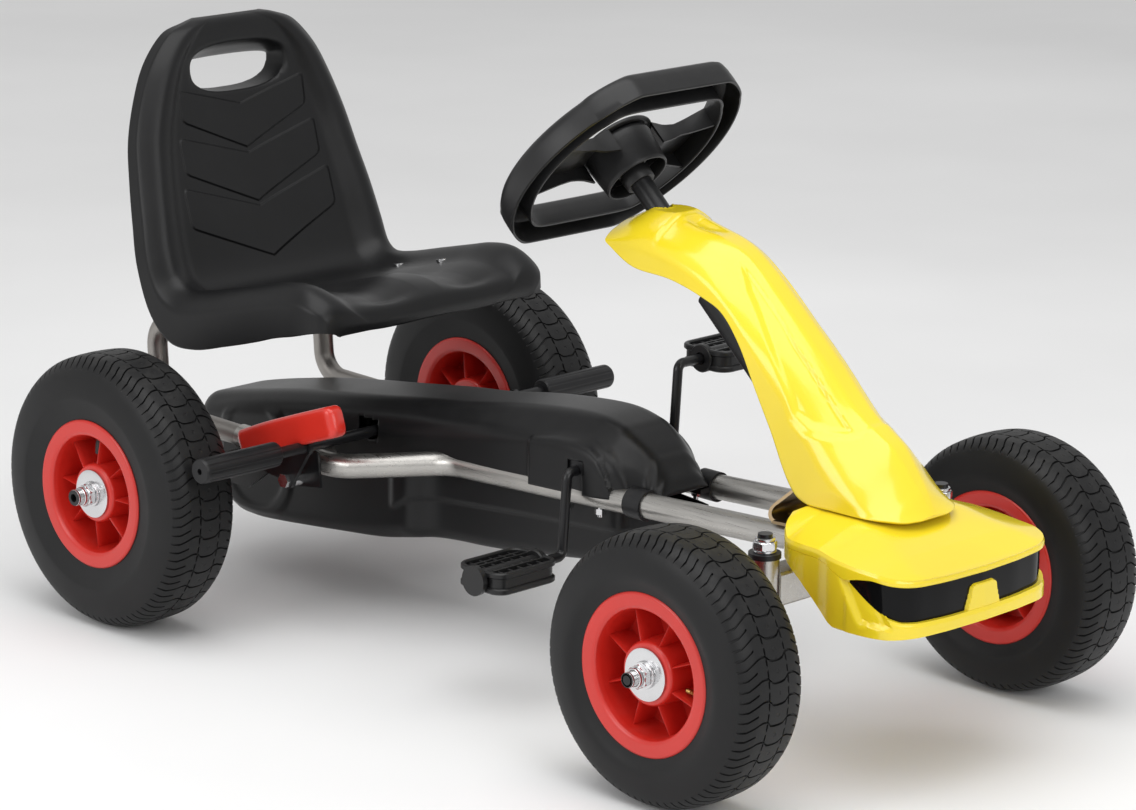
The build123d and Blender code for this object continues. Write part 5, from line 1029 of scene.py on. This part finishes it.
def lid_height(x, y, half_width):
    """Height of the lid: the crown's, less the drop times the share of the way from the flat middle to
    the edge, rounded where it starts."""
    flat = table_at(NOSE_FLAT, y)
    share = (np.abs(x) / half_width - flat) / (1 - flat)
    share = (share + np.sqrt(share ** 2 + 0.02)) / (1 + np.sqrt(1.02))
    return table_at(NOSE_CROWN, y) - table_at(NOSE_DROP, y) * share


half_edge = eased(NOSE_EDGE, 9.0, 6)
whole_edge = np.concatenate([half_edge, half_edge[-2::-1] * [-1, 1]])
edge_length = np.linalg.norm(np.diff(whole_edge, axis=0), axis=1).sum()
near_tab = edge_length / 2 + np.outer([-1, 1], np.linspace(13, 27, 29)).ravel()
places = np.unique(np.concatenate([np.linspace(0, edge_length, 241), near_tab]))
edge = along(whole_edge, places)
edge_x = edge[:, 0]
edge_y = edge[:, 1]
ahead = np.gradient(edge, places, axis=0)
outward = np.stack([ahead[:, 1], -ahead[:, 0]], -1)
outward /= np.linalg.norm(outward, axis=1, keepdims=True)
outward *= np.sign((outward * (edge - [0, -440])).sum(1, keepdims=True))
spine_y = np.clip(edge_y, -500, -392)
share = np.concatenate([np.linspace(0, 0.9, 28), [0.94, 0.965, 0.985]])[:, None]
lid_x = edge_x * share
lid_y = spine_y + (edge_y - spine_y) * share
width_there = np.interp(-lid_y, -half_edge[:, 1], -half_edge[:, 0])
width_there = np.maximum(width_there, np.abs(lid_x) + 1e-6)
lid_z = lid_height(lid_x, lid_y, width_there)
lid = np.stack([lid_x, lid_y, lid_z], -1)
edge_z = lid_height(edge_x, edge_y, np.maximum(np.abs(edge_x), 60.0)) - 2.0
lip_z = edge_z - table_at(LIP, edge_y)
visor_low = np.minimum(lip_z, np.where(edge_y < -464, table_at(VISOR_FOOT, edge_y), 300))
open_share = step(0, 4, lip_z - visor_low)
foot_z = table_at(NOSE_FOOT, edge_y)
wall_rows = []


def wall_row(height, offset):
    """One row of the wall: the edge moved outwards by an offset, at a height."""
    wall_rows.append(np.concatenate([edge + outward * np.broadcast_to(offset, edge_x.shape)[:, None],
                                     np.broadcast_to(height, edge_x.shape)[:, None]], -1))


wall_row(edge_z + 0.9, -1.0)
wall_row(edge_z - 0.4, -0.2)
wall_row(edge_z - 1.6, 0)
wall_row(lip_z + 0.6, 0)
wall_row(lip_z, -0.6)
tab_top = 195.0
for part in (0, 0.02, 0.1, 0.2, 0.28, 0.31, 0.34, 0.37, 0.42, 0.5, 0.65, 0.8, 0.94, 1):
    height = lip_z + (visor_low - lip_z) * part
    tab_half = 18 + 6 * step(tab_top, 168, height)
    tab = step(tab_half + 0.8, tab_half - 0.8, np.abs(edge_x))
    rounding = 0.16 * np.maximum(np.abs(edge_x) - 12, 0) ** 1.6
    tab = tab * step(tab_top + 0.9, tab_top - 0.9, height + rounding)
    wall_row(height, -0.6 - (RECESS - 0.6) * open_share * (1 - tab))
for part in (0.0, 0.03, 0.08, 0.16, 0.26, 0.36, 0.46, 0.56, 0.66, 0.76, 0.85, 0.93, 0.98):
    height = visor_low + (foot_z - visor_low) * part
    slant = edge_y + 463 + (206 - height) * 0.65
    hollow = step(-31, -26, slant) * step(4, -1, slant)
    hollow = hollow * step(166, 171, height) * step(209, 204, height)
    lip_bulge = 1.2 * step(0, 0.3, part) * open_share
    wall_row(height, lip_bulge - 4.6 * hollow)
wall_row(foot_z, -1.4)
nose_grid = np.concatenate([lid, np.stack(wall_rows)])
made_nose = walled("nose_moulding", [skin(nose_grid * MM)], "frame", tower_yellow, MOULDING_WALL)
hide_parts("nose")

visor_gloss = finish("visor_black_gloss", (0.004, 0.004, 0.0045), 0.05, (300.0, 0.5), (0.03, 12.0, 0.0),
                     bump=0.02, specular=0.14)
in_visor = np.flatnonzero(lip_z - visor_low > 2.5)
visor_columns = slice(in_visor[0], in_visor[-1] + 1)
visor_rows = [np.concatenate([edge + outward * (front - RECESS), height[:, None]], -1)[visor_columns]
              for height, front in (
                  (lip_z + 0.6, 0), (lip_z + 0.6, 1.6), (lip_z * 0.7 + visor_low * 0.3, 2.0),
                  (lip_z * 0.3 + visor_low * 0.7, 2.0), (visor_low - 0.6, 1.6), (visor_low - 0.6, 0))]
made_visor = piece("visor_panel", [skin(np.stack(visor_rows) * MM, close_rows=True)], "frame", visor_gloss,
                   crease=50.0)
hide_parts("visor")

# ---- steering wheel -----------------------------------------------------------------------------
# Black moulded wheel, open-backed: an outer and an inner wall joined by the face, cut flat and
# thicker at the top and the bottom, with two broad dished spokes into a deep cup. A domed cap
# closes the cup, and a slotted collar below it grips the black column.

WHEEL_UP = np.array([0, -0.67559, 0.73728])
WHEEL_RADIUS = 132.4
FLAT_AT = 116.0
RIM_WIDTH = 25.0

wheel_black = finish("steering_plastic_black", (0.008, 0.008, 0.0085), 0.38, (1300.0, 0.25),
                     (0.10, 14.0, 0.02), bump=0.3, bump_depth=0.0003, specular=0.4)


def from_hub(grid):
    """Points given as (to the driver's left, up the wheel's face, along its axis) in millimetres, put
    in their place on the tilted wheel, in metres."""
    grid = np.asarray(grid, float)
    left, up, along_axis = grid[..., :1], grid[..., 1:2], grid[..., 2:]
    return (WHEEL_HUB + left * [1, 0, 0] + up * WHEEL_UP + along_axis * WHEEL_AXIS) * MM


def rounded_outline(turn, radius, flat, softness):
    """Reach of a circle cut by two level lines at each angle: the smooth smaller of the radius and of
    the flat's distance over the sine."""
    cut = flat / np.maximum(np.abs(np.sin(turn)), 1e-3)
    return radius - softness * np.log1p(np.exp(np.clip((radius - cut) / softness, -40, 40)))


turn = np.linspace(0, 2 * np.pi, 288, endpoint=False)
grip = step(0.60, 0.68, np.abs(np.sin(turn)))
outer = rounded_outline(turn, WHEEL_RADIUS, FLAT_AT, 1.2)
inner = rounded_outline(turn, WHEEL_RADIUS - RIM_WIDTH, FLAT_AT - 31, 3.0)
wide = outer - inner
rim_section = [
    (0.05, -14.9), (0.0, -13.9), (-0.01, -6), (0.0, 4), (0.05, 10), (0.16, 13.6), (0.34, 14.9), (0.62, 14.9),
    (0.82, 13.4), (0.95, 9.6), (1.0, 3), (1.0, -6), (0.98, -13.9), (0.94, -14.9), (0.88, -14.9),
    (0.86, -13.6), (0.85, 2), (0.80, 8), (0.66, 10.6), (0.34, 10.6), (0.20, 8), (0.15, 2), (0.13, -13.6),
    (0.11, -14.9)]
rim_rows = []
for inward, height in rim_section:
    reach = outer - wide * inward + grip * (0.5 if 0 < inward < 0.9 else 0) - (1 - grip) * 0.5
    lift = height * (1 - 0.05 * (1 - grip))
    rim_rows.append(np.stack([reach * np.cos(turn), reach * np.sin(turn), lift + 0 * turn], -1))
shells = [skin(from_hub(np.stack(rim_rows)), close_rows=True, close_columns=True)]

for hand in (1, -1):
    out = np.linspace(30, 107, 22)
    across_spoke = np.linspace(-1, 1, 25)
    half_width = np.interp(out, [30, 48, 75, 107], [27, 23, 27, 36])
    dish = np.interp(out, [30, 60, 107], [6.5, 1.0, 8.0])
    top = np.stack([hand * out[:, None] + 0 * across_spoke, across_spoke * half_width[:, None] + 2,
                    dish[:, None] + 2.5 * np.abs(across_spoke) ** 3], -1)
    under = top - [0, 0, 3.2]
    shells.append(skin(from_hub(np.concatenate([top, under[:, ::-1]], 1)), close_columns=True, capped=True))
    for edge_side in (-1, 1):
        wall_out = out[::2]
        level = np.interp(wall_out, out, dish) + 2.4
        edge_y = np.interp(wall_out, out, half_width) * edge_side + 2
        low = np.interp(wall_out, [30, 60, 107], [-16, -10, -12])
        wall = [np.stack([hand * wall_out, edge_y - edge_side * inset, height], -1)
                for inset, height in ((0.1, level), (0, low), (2.4, low), (2.6, level - 1))]
        shells.append(skin(from_hub(np.stack(wall, 1)), close_columns=True, capped=True))

cup = np.array([(8.4, 0), (8.4, 34.5), (6.5, 36.4), (2, 37), (-4, 36.4), (-16, 35.4), (-30, 34.2), (-33, 34),
                (-33.9, 33.2), (-33.9, 31.6), (-32.6, 31), (-20, 31.8), (0, 32.6), (3, 32), (3.4, 0)])
shells.append(turned(cup * MM, WHEEL_HUB * MM, WHEEL_AXIS, 96))
collar = np.array([(2, 11.2), (2, 17.5), (-30, 15.8), (-40, 15.2), (-41, 14.4), (-41, 11.2)])
shells.append(turned(collar * MM, WHEEL_HUB * MM, WHEEL_AXIS, 64, closed=True))
for number in range(6):
    angle = radians(20 + 60 * number)
    side_way = np.array([-np.sin(angle), np.cos(angle), 0]) * 1.1
    reach = np.array([np.cos(angle), np.sin(angle), 0])
    faces = [[reach * out + side_way * hand + [0, 0, height]
              for out, height in ((14, 2), (32, 2), (32, -22), (14, -28))] for hand in (-1, 1)]
    shells.append(skin(from_hub(faces), close_columns=True, capped=True))
made_wheel = piece("steering_wheel_moulding", shells, "steering", wheel_black, crease=38.0)
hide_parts("steering_wheel")

# The cap: a shallow dome with a rolled edge, a raised ring and a sunk middle.
cap_profile = np.array([(8.5, 0), (8.5, 36), (8.6, 40.8), (9.4, 41.9), (10.8, 41.9), (12.2, 41.0),
                        (13.3, 38), (13.8, 34), (13.6, 31.5), (12.6, 30.3), (12.6, 27), (13.4, 20),
                        (13.9, 10), (14.1, 0)])
made_cap = piece("wheel_cap_moulding", [turned(cap_profile * MM, WHEEL_HUB * MM, WHEEL_AXIS, 96)],
                 "steering", wheel_black, crease=40.0)
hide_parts("wheel_cap")

# ---- crank and pedals ---------------------------------------------------------------------------
# One steel bar bent into the crank and painted black. Each pedal is a black nylon moulding: two
# rims round a waist with open windows, ribs between them, and a round end cap.

pedal_black = finish("pedal_nylon_black", (0.009, 0.009, 0.0095), 0.36, (800.0, 0.3), (0.12, 25.0, 0.02),
                     bump=0.2, specular=0.4)


def rounded_loop(half_long, half_wide, corner, steps=8):
    """Points round a rectangle with corners of a given radius: quarter circles about the four inner
    corner points."""
    angle = np.linspace(0, np.pi / 2, steps)
    hearts = np.array([(1, 1), (-1, 1), (-1, -1), (1, -1)]) * [half_long - corner, half_wide - corner]
    return np.concatenate([heart + corner * np.stack([np.cos(angle + quarter), np.sin(angle + quarter)], -1)
                           for heart, quarter in zip(hearts, np.arange(4) * np.pi / 2)])


def loop_band(outer_loop, inner_loop, low, high, edge):
    """Closed band between an outer and an inner loop of points, from low to high, edges eased."""
    rows = []
    for share, height in ((0, low + edge), (0, high - edge), (0.25, high), (0.75, high), (1, high - edge),
                          (1, low + edge), (0.75, low), (0.25, low)):
        flat = outer_loop + (inner_loop - outer_loop) * share
        rows.append(np.column_stack([flat, np.full(len(flat), height)]))
    return np.stack(rows)


def slab(centre, size, edge=0.6):
    """Box with eased long edges, its section carried from end to end of its first size."""
    half = np.array(size) / 2
    section = eased(np.array([(-1, -1), (1, -1), (1, 1), (-1, 1)]) * half[1:], edge, 2, closed=True)
    rows = [np.column_stack([np.full(len(section), end), section]) for end in (-half[0], half[0])]
    return np.stack(rows) + centre


def pedal(name, body):
    """Pedal in its box: the rims along its length, the waist between them and the ribs across."""
    low, high = corners_of(name)
    low, high = low / MM, high / MM
    centre = (low + high) / 2
    long, wide, tall = (high - low) / 2
    outer_loop = rounded_loop(long, wide, 15)
    inner_loop = rounded_loop(long - 5, wide - 5, 10.5)
    bands = [loop_band(outer_loop, inner_loop, tall - 6, tall, 1.2),
             loop_band(outer_loop, inner_loop, -tall, -tall + 6, 1.2),
             loop_band(rounded_loop(long - 2.5, wide - 2.5, 13), rounded_loop(long - 4.8, wide - 4.8, 11),
                       -tall + 4, tall - 4, 0.3)]
    shells = [skin((band + centre) * MM, close_rows=True, close_columns=True) for band in bands]
    inner_long = long * 2 - 9
    inner_wide = wide * 2 - 9
    tops = tall - 4.4
    bars = [slab(np.array([0, hand * 11.5, 0]), (inner_long, 2.6, 2 * tall - 3)) for hand in (-1, 1)]
    bars += [slab(np.array([0, hand * wide * 0.66, level]), (inner_long, 3.0, 3.4))
             for level in (tops, -tops) for hand in (-1, 1)]
    crossbar = slab(np.array([0, 0, 0]), (inner_wide, 2.4, 3.2))[..., [1, 0, 2]]
    bars += [crossbar + [place * long, 0, level]
             for place in (-0.62, -0.31, 0, 0.31, 0.62) for level in (tops, -tops)]
    shells += [skin((bar + centre) * MM, close_columns=True, capped=True) for bar in bars]
    boss = np.array([(-long + 1, 6.2), (-long + 1, 9.5), (long - 1, 9.5), (long - 1, 6.2)])
    shells.append(turned(boss * MM, centre * MM, (1, 0, 0), 32, closed=True))
    side = np.sign(centre[0])
    cheek = np.array([(-1.0, 6.4), (-1.0, 13.6), (0.4, 14.6), (5.6, 14.6), (7, 13.4), (7, 6.4)])
    inner_face = (-long * side, 0, 0)
    shells.append(turned(cheek * MM, (centre + inner_face) * MM, (side, 0, 0), 40, closed=True))
    return piece(name + "_moulding", shells, body, pedal_black, crease=35.0)


for side in ("right", "left"):
    made_pedal = pedal(side + "_pedal", side + "_pedal")
    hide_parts(side + "_pedal")
keep("pedal_caps", pedal_black)

# ---- chain guard --------------------------------------------------------------------------------
# Two black polypropylene shells screwed to the rails over and under the chain: the upper one swells
# over the two sprockets and has a raised panel round the crank, the lower one steps out at the rear.

UPPER_ROWS = np.array([
    (526.5, 172, 523, 153, 40, 42, 10, 8),
    (518, 180, 513, 140, 49, 50, 14, 14),
    (500, 186, 495, 130, 55, 55, 16, 18),
    (446, 198, 440, 121, 58, 58, 17, 14),
    (366, 213, 366, 130, 58, 58, 17, 13),
    (257, 228, 257, 150, 58, 58, 17, 13),
    (180, 239, 180, 168, 58, 58, 19, 15),
    (122, 246, 122, 184, 58, 58, 21, 18),
    (49, 258, 49, 188, 59, 59, 24, 23),
    (-22, 266, -22, 191, 59, 59, 27, 27),
    (-62, 267, -66, 193, 59, 59, 28, 29),
    (-92, 262, -97, 195, 58, 58, 28, 31),
    (-105, 256.5, -109, 196, 56, 57.5, 26, 30),
    (-118, 249, -121, 197.5, 50, 53, 22, 26),
    (-130, 240.5, -132, 199, 43, 46, 18, 22),
    (-141, 229.5, -142, 200, 37.5, 40, 15, 17),
    (-149, 218, -149.5, 201, 35, 36.5, 14, 11),
    (-154, 209, -154.3, 201.7, 33, 34.5, 12, 5),
    (-156.5, 204, -156.3, 202, 30, 32, 9, 1.2),
])
LOWER_ROWS = np.array([
    (-164.5, 132, -164.5, 186, 19, 21, 6, 6),
    (-150, 128, -150, 187, 22, 22, 7, 7),
    (-108, 122, -108, 190, 24, 24, 8, 8),
    (-94, 120, -94, 192, 34.5, 35, 8, 8),
    (-41, 112, -41, 190, 35, 35, 8, 8),
    (73, 97, 73, 186, 35, 35, 8, 8),
    (140, 92, 140, 178, 35.5, 36, 8, 8),
    (168, 90, 166, 176, 40, 41, 8, 8),
    (186, 88, 182, 175, 52, 52, 10, 10),
    (205, 84, 202, 173, 54, 54, 12, 12),
    (241, 77, 241, 172, 54, 54, 12, 12),
    (300, 70.5, 300, 171, 54, 54, 12, 12),
    (396, 61, 396, 149, 54, 54, 12, 12),
    (440, 59, 440, 148, 54, 54, 12, 12),
    (468, 64, 470, 148, 53, 53, 12, 12),
    (488, 88, 490, 148, 48, 50, 9, 9),
    (497, 116, 499, 147, 44, 46, 5, 5),
])

guard_black = finish("guard_plastic_black", (0.006, 0.006, 0.0065), 0.34, (1500.0, 0.2),
                     (0.10, 9.0, 0.01), bump=0.4, bump_depth=0.0003, specular=0.3)
CRANK_Y = -67.0
AXLE_Y = 392.0
BAR_SLOT = (241.5, 198.5)
UPPER_BOSS = (421, 152)
LOWER_BOSS = (424, 122)


def near_circle(y, z, heart, radius, width):
    """1 inside a circle about a heart in the kart's side view, 0 outside, over an edge of a width."""
    return step(radius + width / 2, radius - width / 2, np.hypot(y - heart[0], z - heart[1]))


upper, _, depth = moulded(UPPER_ROWS, 330, 54, 9)
y = upper[..., 1]
z = upper[..., 2]
on_wall = step(20, 30, depth)
panel_top = np.interp(-y, [0, 30, 60, 80, 94, 104, 110, 114], [236, 242, 244, 240, 232, 220, 206, 190])
panel = step(-3.5, 3.5, panel_top - z) * step(-3, 3, -y) * on_wall
swell_top = np.interp(-y, [-276, -140, -10, 40, 70, 92, 108, 120, 128],
                      [189, 214, 236, 246, 249, 245, 234, 216, 196])
swell = step(-7, 7, swell_top - z) * step(-276, -150, -y) * step(12, 24, depth)
boss = near_circle(y, z, UPPER_BOSS, 54, 9) * step(14, 26, depth)
boss_ring = near_circle(y, z, UPPER_BOSS, 40, 8) * step(14, 26, depth)
from_crank = np.hypot(y - CRANK_Y, z - 195)
ribs = sum(np.exp(-((from_crank - at) / 1.8) ** 2) for at in (74, 80, 86)) * step(132, 138, -y)
ribs = ribs * step(204, 210, z)
upper = pushed(upper, 4.5 * panel + 2.4 * swell + 3.0 * boss - 1.6 * boss_ring + ribs)
crank_hole = (np.abs(y - CRANK_Y) < 11) & (z < 228) & (depth > 26)
axle_hole = (np.abs(y - AXLE_Y) < 11) & (z < 156) & (depth > 26)
bar_hole = (np.abs(y - BAR_SLOT[0]) < 16.5) & (np.abs(z - BAR_SLOT[1]) < 12.5) & (depth > 15)
made_guard = walled("chain_guard_upper_shell",
                    [skin(upper * MM, capped=True, hole=crank_hole | axle_hole | bar_hole)], "frame",
                    guard_black, MOULDING_WALL, crease=40.0)
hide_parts("chain_guard_upper")

lower, _, depth = moulded(LOWER_ROWS, 230, 50, 6)
y = lower[..., 1]
z = lower[..., 2]
step_line = np.interp(y, [-165, 32, 185, 206], [160, 146, 133, 120])
ledge = step(-2.5, 2.5, z - step_line) * step(214, 204, y) * step(6, 14, depth)
boss = near_circle(y, z, LOWER_BOSS, 60, 6) * step(5, 15, depth)
boss_ring = near_circle(y, z, LOWER_BOSS, 46, 5) * step(5, 15, depth)
lower = pushed(lower, 3.5 * ledge + 1.6 * boss - 2.2 * boss_ring)
axle_hole = (np.abs(y - AXLE_Y) < 11) & (z > 128) & (depth > 12)
made_guard = walled("chain_guard_lower_shell", [skin(lower * MM, capped=True, hole=axle_hole)], "frame",
                    guard_black, MOULDING_WALL, crease=40.0)
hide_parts("chain_guard_lower")

# ---- brake --------------------------------------------------------------------------------------
# A black steel bar across the kart with two plastic sleeves that are pulled on to the rear tyres by
# a red moulded handle on the driver's right.


def carried(sections, run, up):
    """Closed sections carried along a run of points: each stands square to the run at its point, with
    its second value along the part of up that is square to the run."""
    ahead = np.gradient(run, axis=0)
    ahead /= np.linalg.norm(ahead, axis=1, keepdims=True)
    aside, rise = square_to(ahead, up)
    return run[:, None] + sections[:, :, :1] * aside[:, None] + sections[:, :, 1:] * rise[:, None]


handle_low, handle_high = corners_of("brake_handle")
bar_low, bar_high = corners_of("brake_sleeves")
bar_place = (bar_low + bar_high) / 2 / MM
handle_red = finish("handle_red_moulding", (0.66, 0.028, 0.016), 0.30, (600.0, 0.4), (0.08, 20.0, 0.03),
                    bump=0.1, coat=0.3, coat_roughness=0.15)
handle_run = bar_place + np.array([(0, 94, -17), (0, 54, 0), (0, 0, 20), (0, -51, 38)])
handle_run[:, 0] = (handle_low[0] + handle_high[0]) / 2 / MM
handle_run = through(handle_run, np.linspace(0, 3, 41))
reach = np.linspace(0, 1, 41)
end_round = (1 - np.clip(np.abs(reach - 0.5) * 2 - 0.90, 0, 0.1) ** 2 * 42)[:, None, None]
angle = np.linspace(0, 2 * np.pi, 48, endpoint=False)
squared = 1 / (np.abs(np.cos(angle)) ** 5 + np.abs(np.sin(angle)) ** 5) ** 0.2
handle_section = np.stack([10.9 * squared * np.cos(angle), 16.4 * squared * np.sin(angle)], -1)
handle_grid = carried(handle_section[None] * end_round, handle_run, UPRIGHT)
made_handle = piece("brake_handle_moulding", [skin(handle_grid * MM, close_columns=True, capped=True)],
                    "brake", handle_red, crease=50.0)
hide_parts("brake_handle")

FLUTES = 10
inner_end = 190.0
length = bar_high[0] / MM - inner_end
place = np.array([0, 0.6, 2, 4, length - 6, length - 4, length - 1.5, length, length, length - 10])
radius = np.array([6.2, 11.6, 12.6, 13, 13, 13, 12.8, 11.8, 3.2, 3.2])
fluted = np.array([0, 0, 0, 1, 1, 0, 0, 0, 0, 0])
turn = np.linspace(0, 2 * np.pi, 160, endpoint=False)
groove = np.clip(np.cos(turn * FLUTES) * 1.6 - 0.7, 0, 0.8)
reach = radius[:, None] - fluted[:, None] * groove
shells = []
for side in (-1, 1):
    grid = np.stack([side * (inner_end + place)[:, None] + 0 * turn, bar_place[1] + reach * np.cos(turn),
                     bar_place[2] + reach * np.sin(turn)], -1)
    shells.append(skin(grid * MM, close_columns=True, capped=True))
made_sleeves = piece("brake_sleeve_mouldings", shells, "brake", nylon_black, crease=30.0)
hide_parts("brake_sleeves")
keep("brake_lever", coat_black)

# ---- studio -------------------------------------------------------------------------------------
# A pale matt floor, three soft boxes and a pale room round the kart, seen through a long lens from
# the front of the driver's right side.

floor_pale = finish("studio_floor_pale", (0.88, 0.88, 0.88), 0.85, (40.0, 0.5), (0.02, 2.0, 0.0),
                    bump=0.02)
FLOOR_HALF = 16.0
floor_mesh = bpy.data.meshes.new("studio_floor")
floor_corners = [(x * FLOOR_HALF, y * FLOOR_HALF, 0) for x, y in ((-1, -1), (1, -1), (1, 1), (-1, 1))]
floor_mesh.from_pydata(floor_corners, [], [(0, 1, 2, 3)])
floor_mesh.materials.append(floor_pale)
floor = bpy.data.objects.new("studio_floor", floor_mesh)
bpy.context.scene.collection.objects.link(floor)


def facing_frame(place, turn, rise, roll=0.0):
    """Placement of a camera or a lamp at a point: turned about the upright axis from facing +Y, tipped
    up by rise and rolled about its own line of sight."""
    return (Matrix.Translation(place) @ Matrix.Rotation(turn, 4, "Z")
            @ Matrix.Rotation(np.pi / 2 + rise, 4, "X") @ Matrix.Rotation(roll, 4, "Z"))


def soft_box(name, place, target, width, height, power):
    """Area lamp at a place, turned to face a target."""
    lamp = bpy.data.lights.new(name, "AREA")
    lamp.shape = "RECTANGLE"
    lamp.size = width
    lamp.size_y = height
    lamp.energy = power
    sight = np.array(target) - np.array(place)
    turn = np.arctan2(-sight[0], sight[1])
    rise = np.arctan2(sight[2], np.hypot(sight[0], sight[1]))
    hung = bpy.data.objects.new(name, lamp)
    hung.matrix_world = facing_frame(place, turn, rise)
    bpy.context.scene.collection.objects.link(hung)


soft_box("soft_box_above", (-0.6, -0.4, 3.2), (0, 0, 0.2), 3.0, 3.0, 62)
soft_box("soft_box_left", (-3.4, 0.6, 1.6), (0, 0, 0.3), 2.0, 1.6, 30)
soft_box("soft_box_front", (-0.8, -3.6, 1.9), (0, 0, 0.3), 2.4, 1.6, 32)

world = bpy.data.worlds.new("studio_room")
world.use_nodes = True
background = world.node_tree.nodes["Background"]
background.inputs["Color"].default_value = (1, 1, 1, 1)
background.inputs["Strength"].default_value = 0.6
bpy.context.scene.world = world
bpy.context.scene.view_settings.view_transform = "Standard"

camera_data = bpy.data.cameras.new("studio_camera")
camera_data.lens = 131.18
camera_data.sensor_width = 36
camera_data.shift_x = -0.01963
camera_data.shift_y = -0.00396
camera = bpy.data.objects.new("studio_camera", camera_data)
camera.matrix_world = facing_frame((-2.88122, -2.81929, 1.31040), radians(-45.859), radians(-14.542),
                                   radians(0.94))
bpy.context.scene.collection.objects.link(camera)
bpy.context.scene.camera = camera
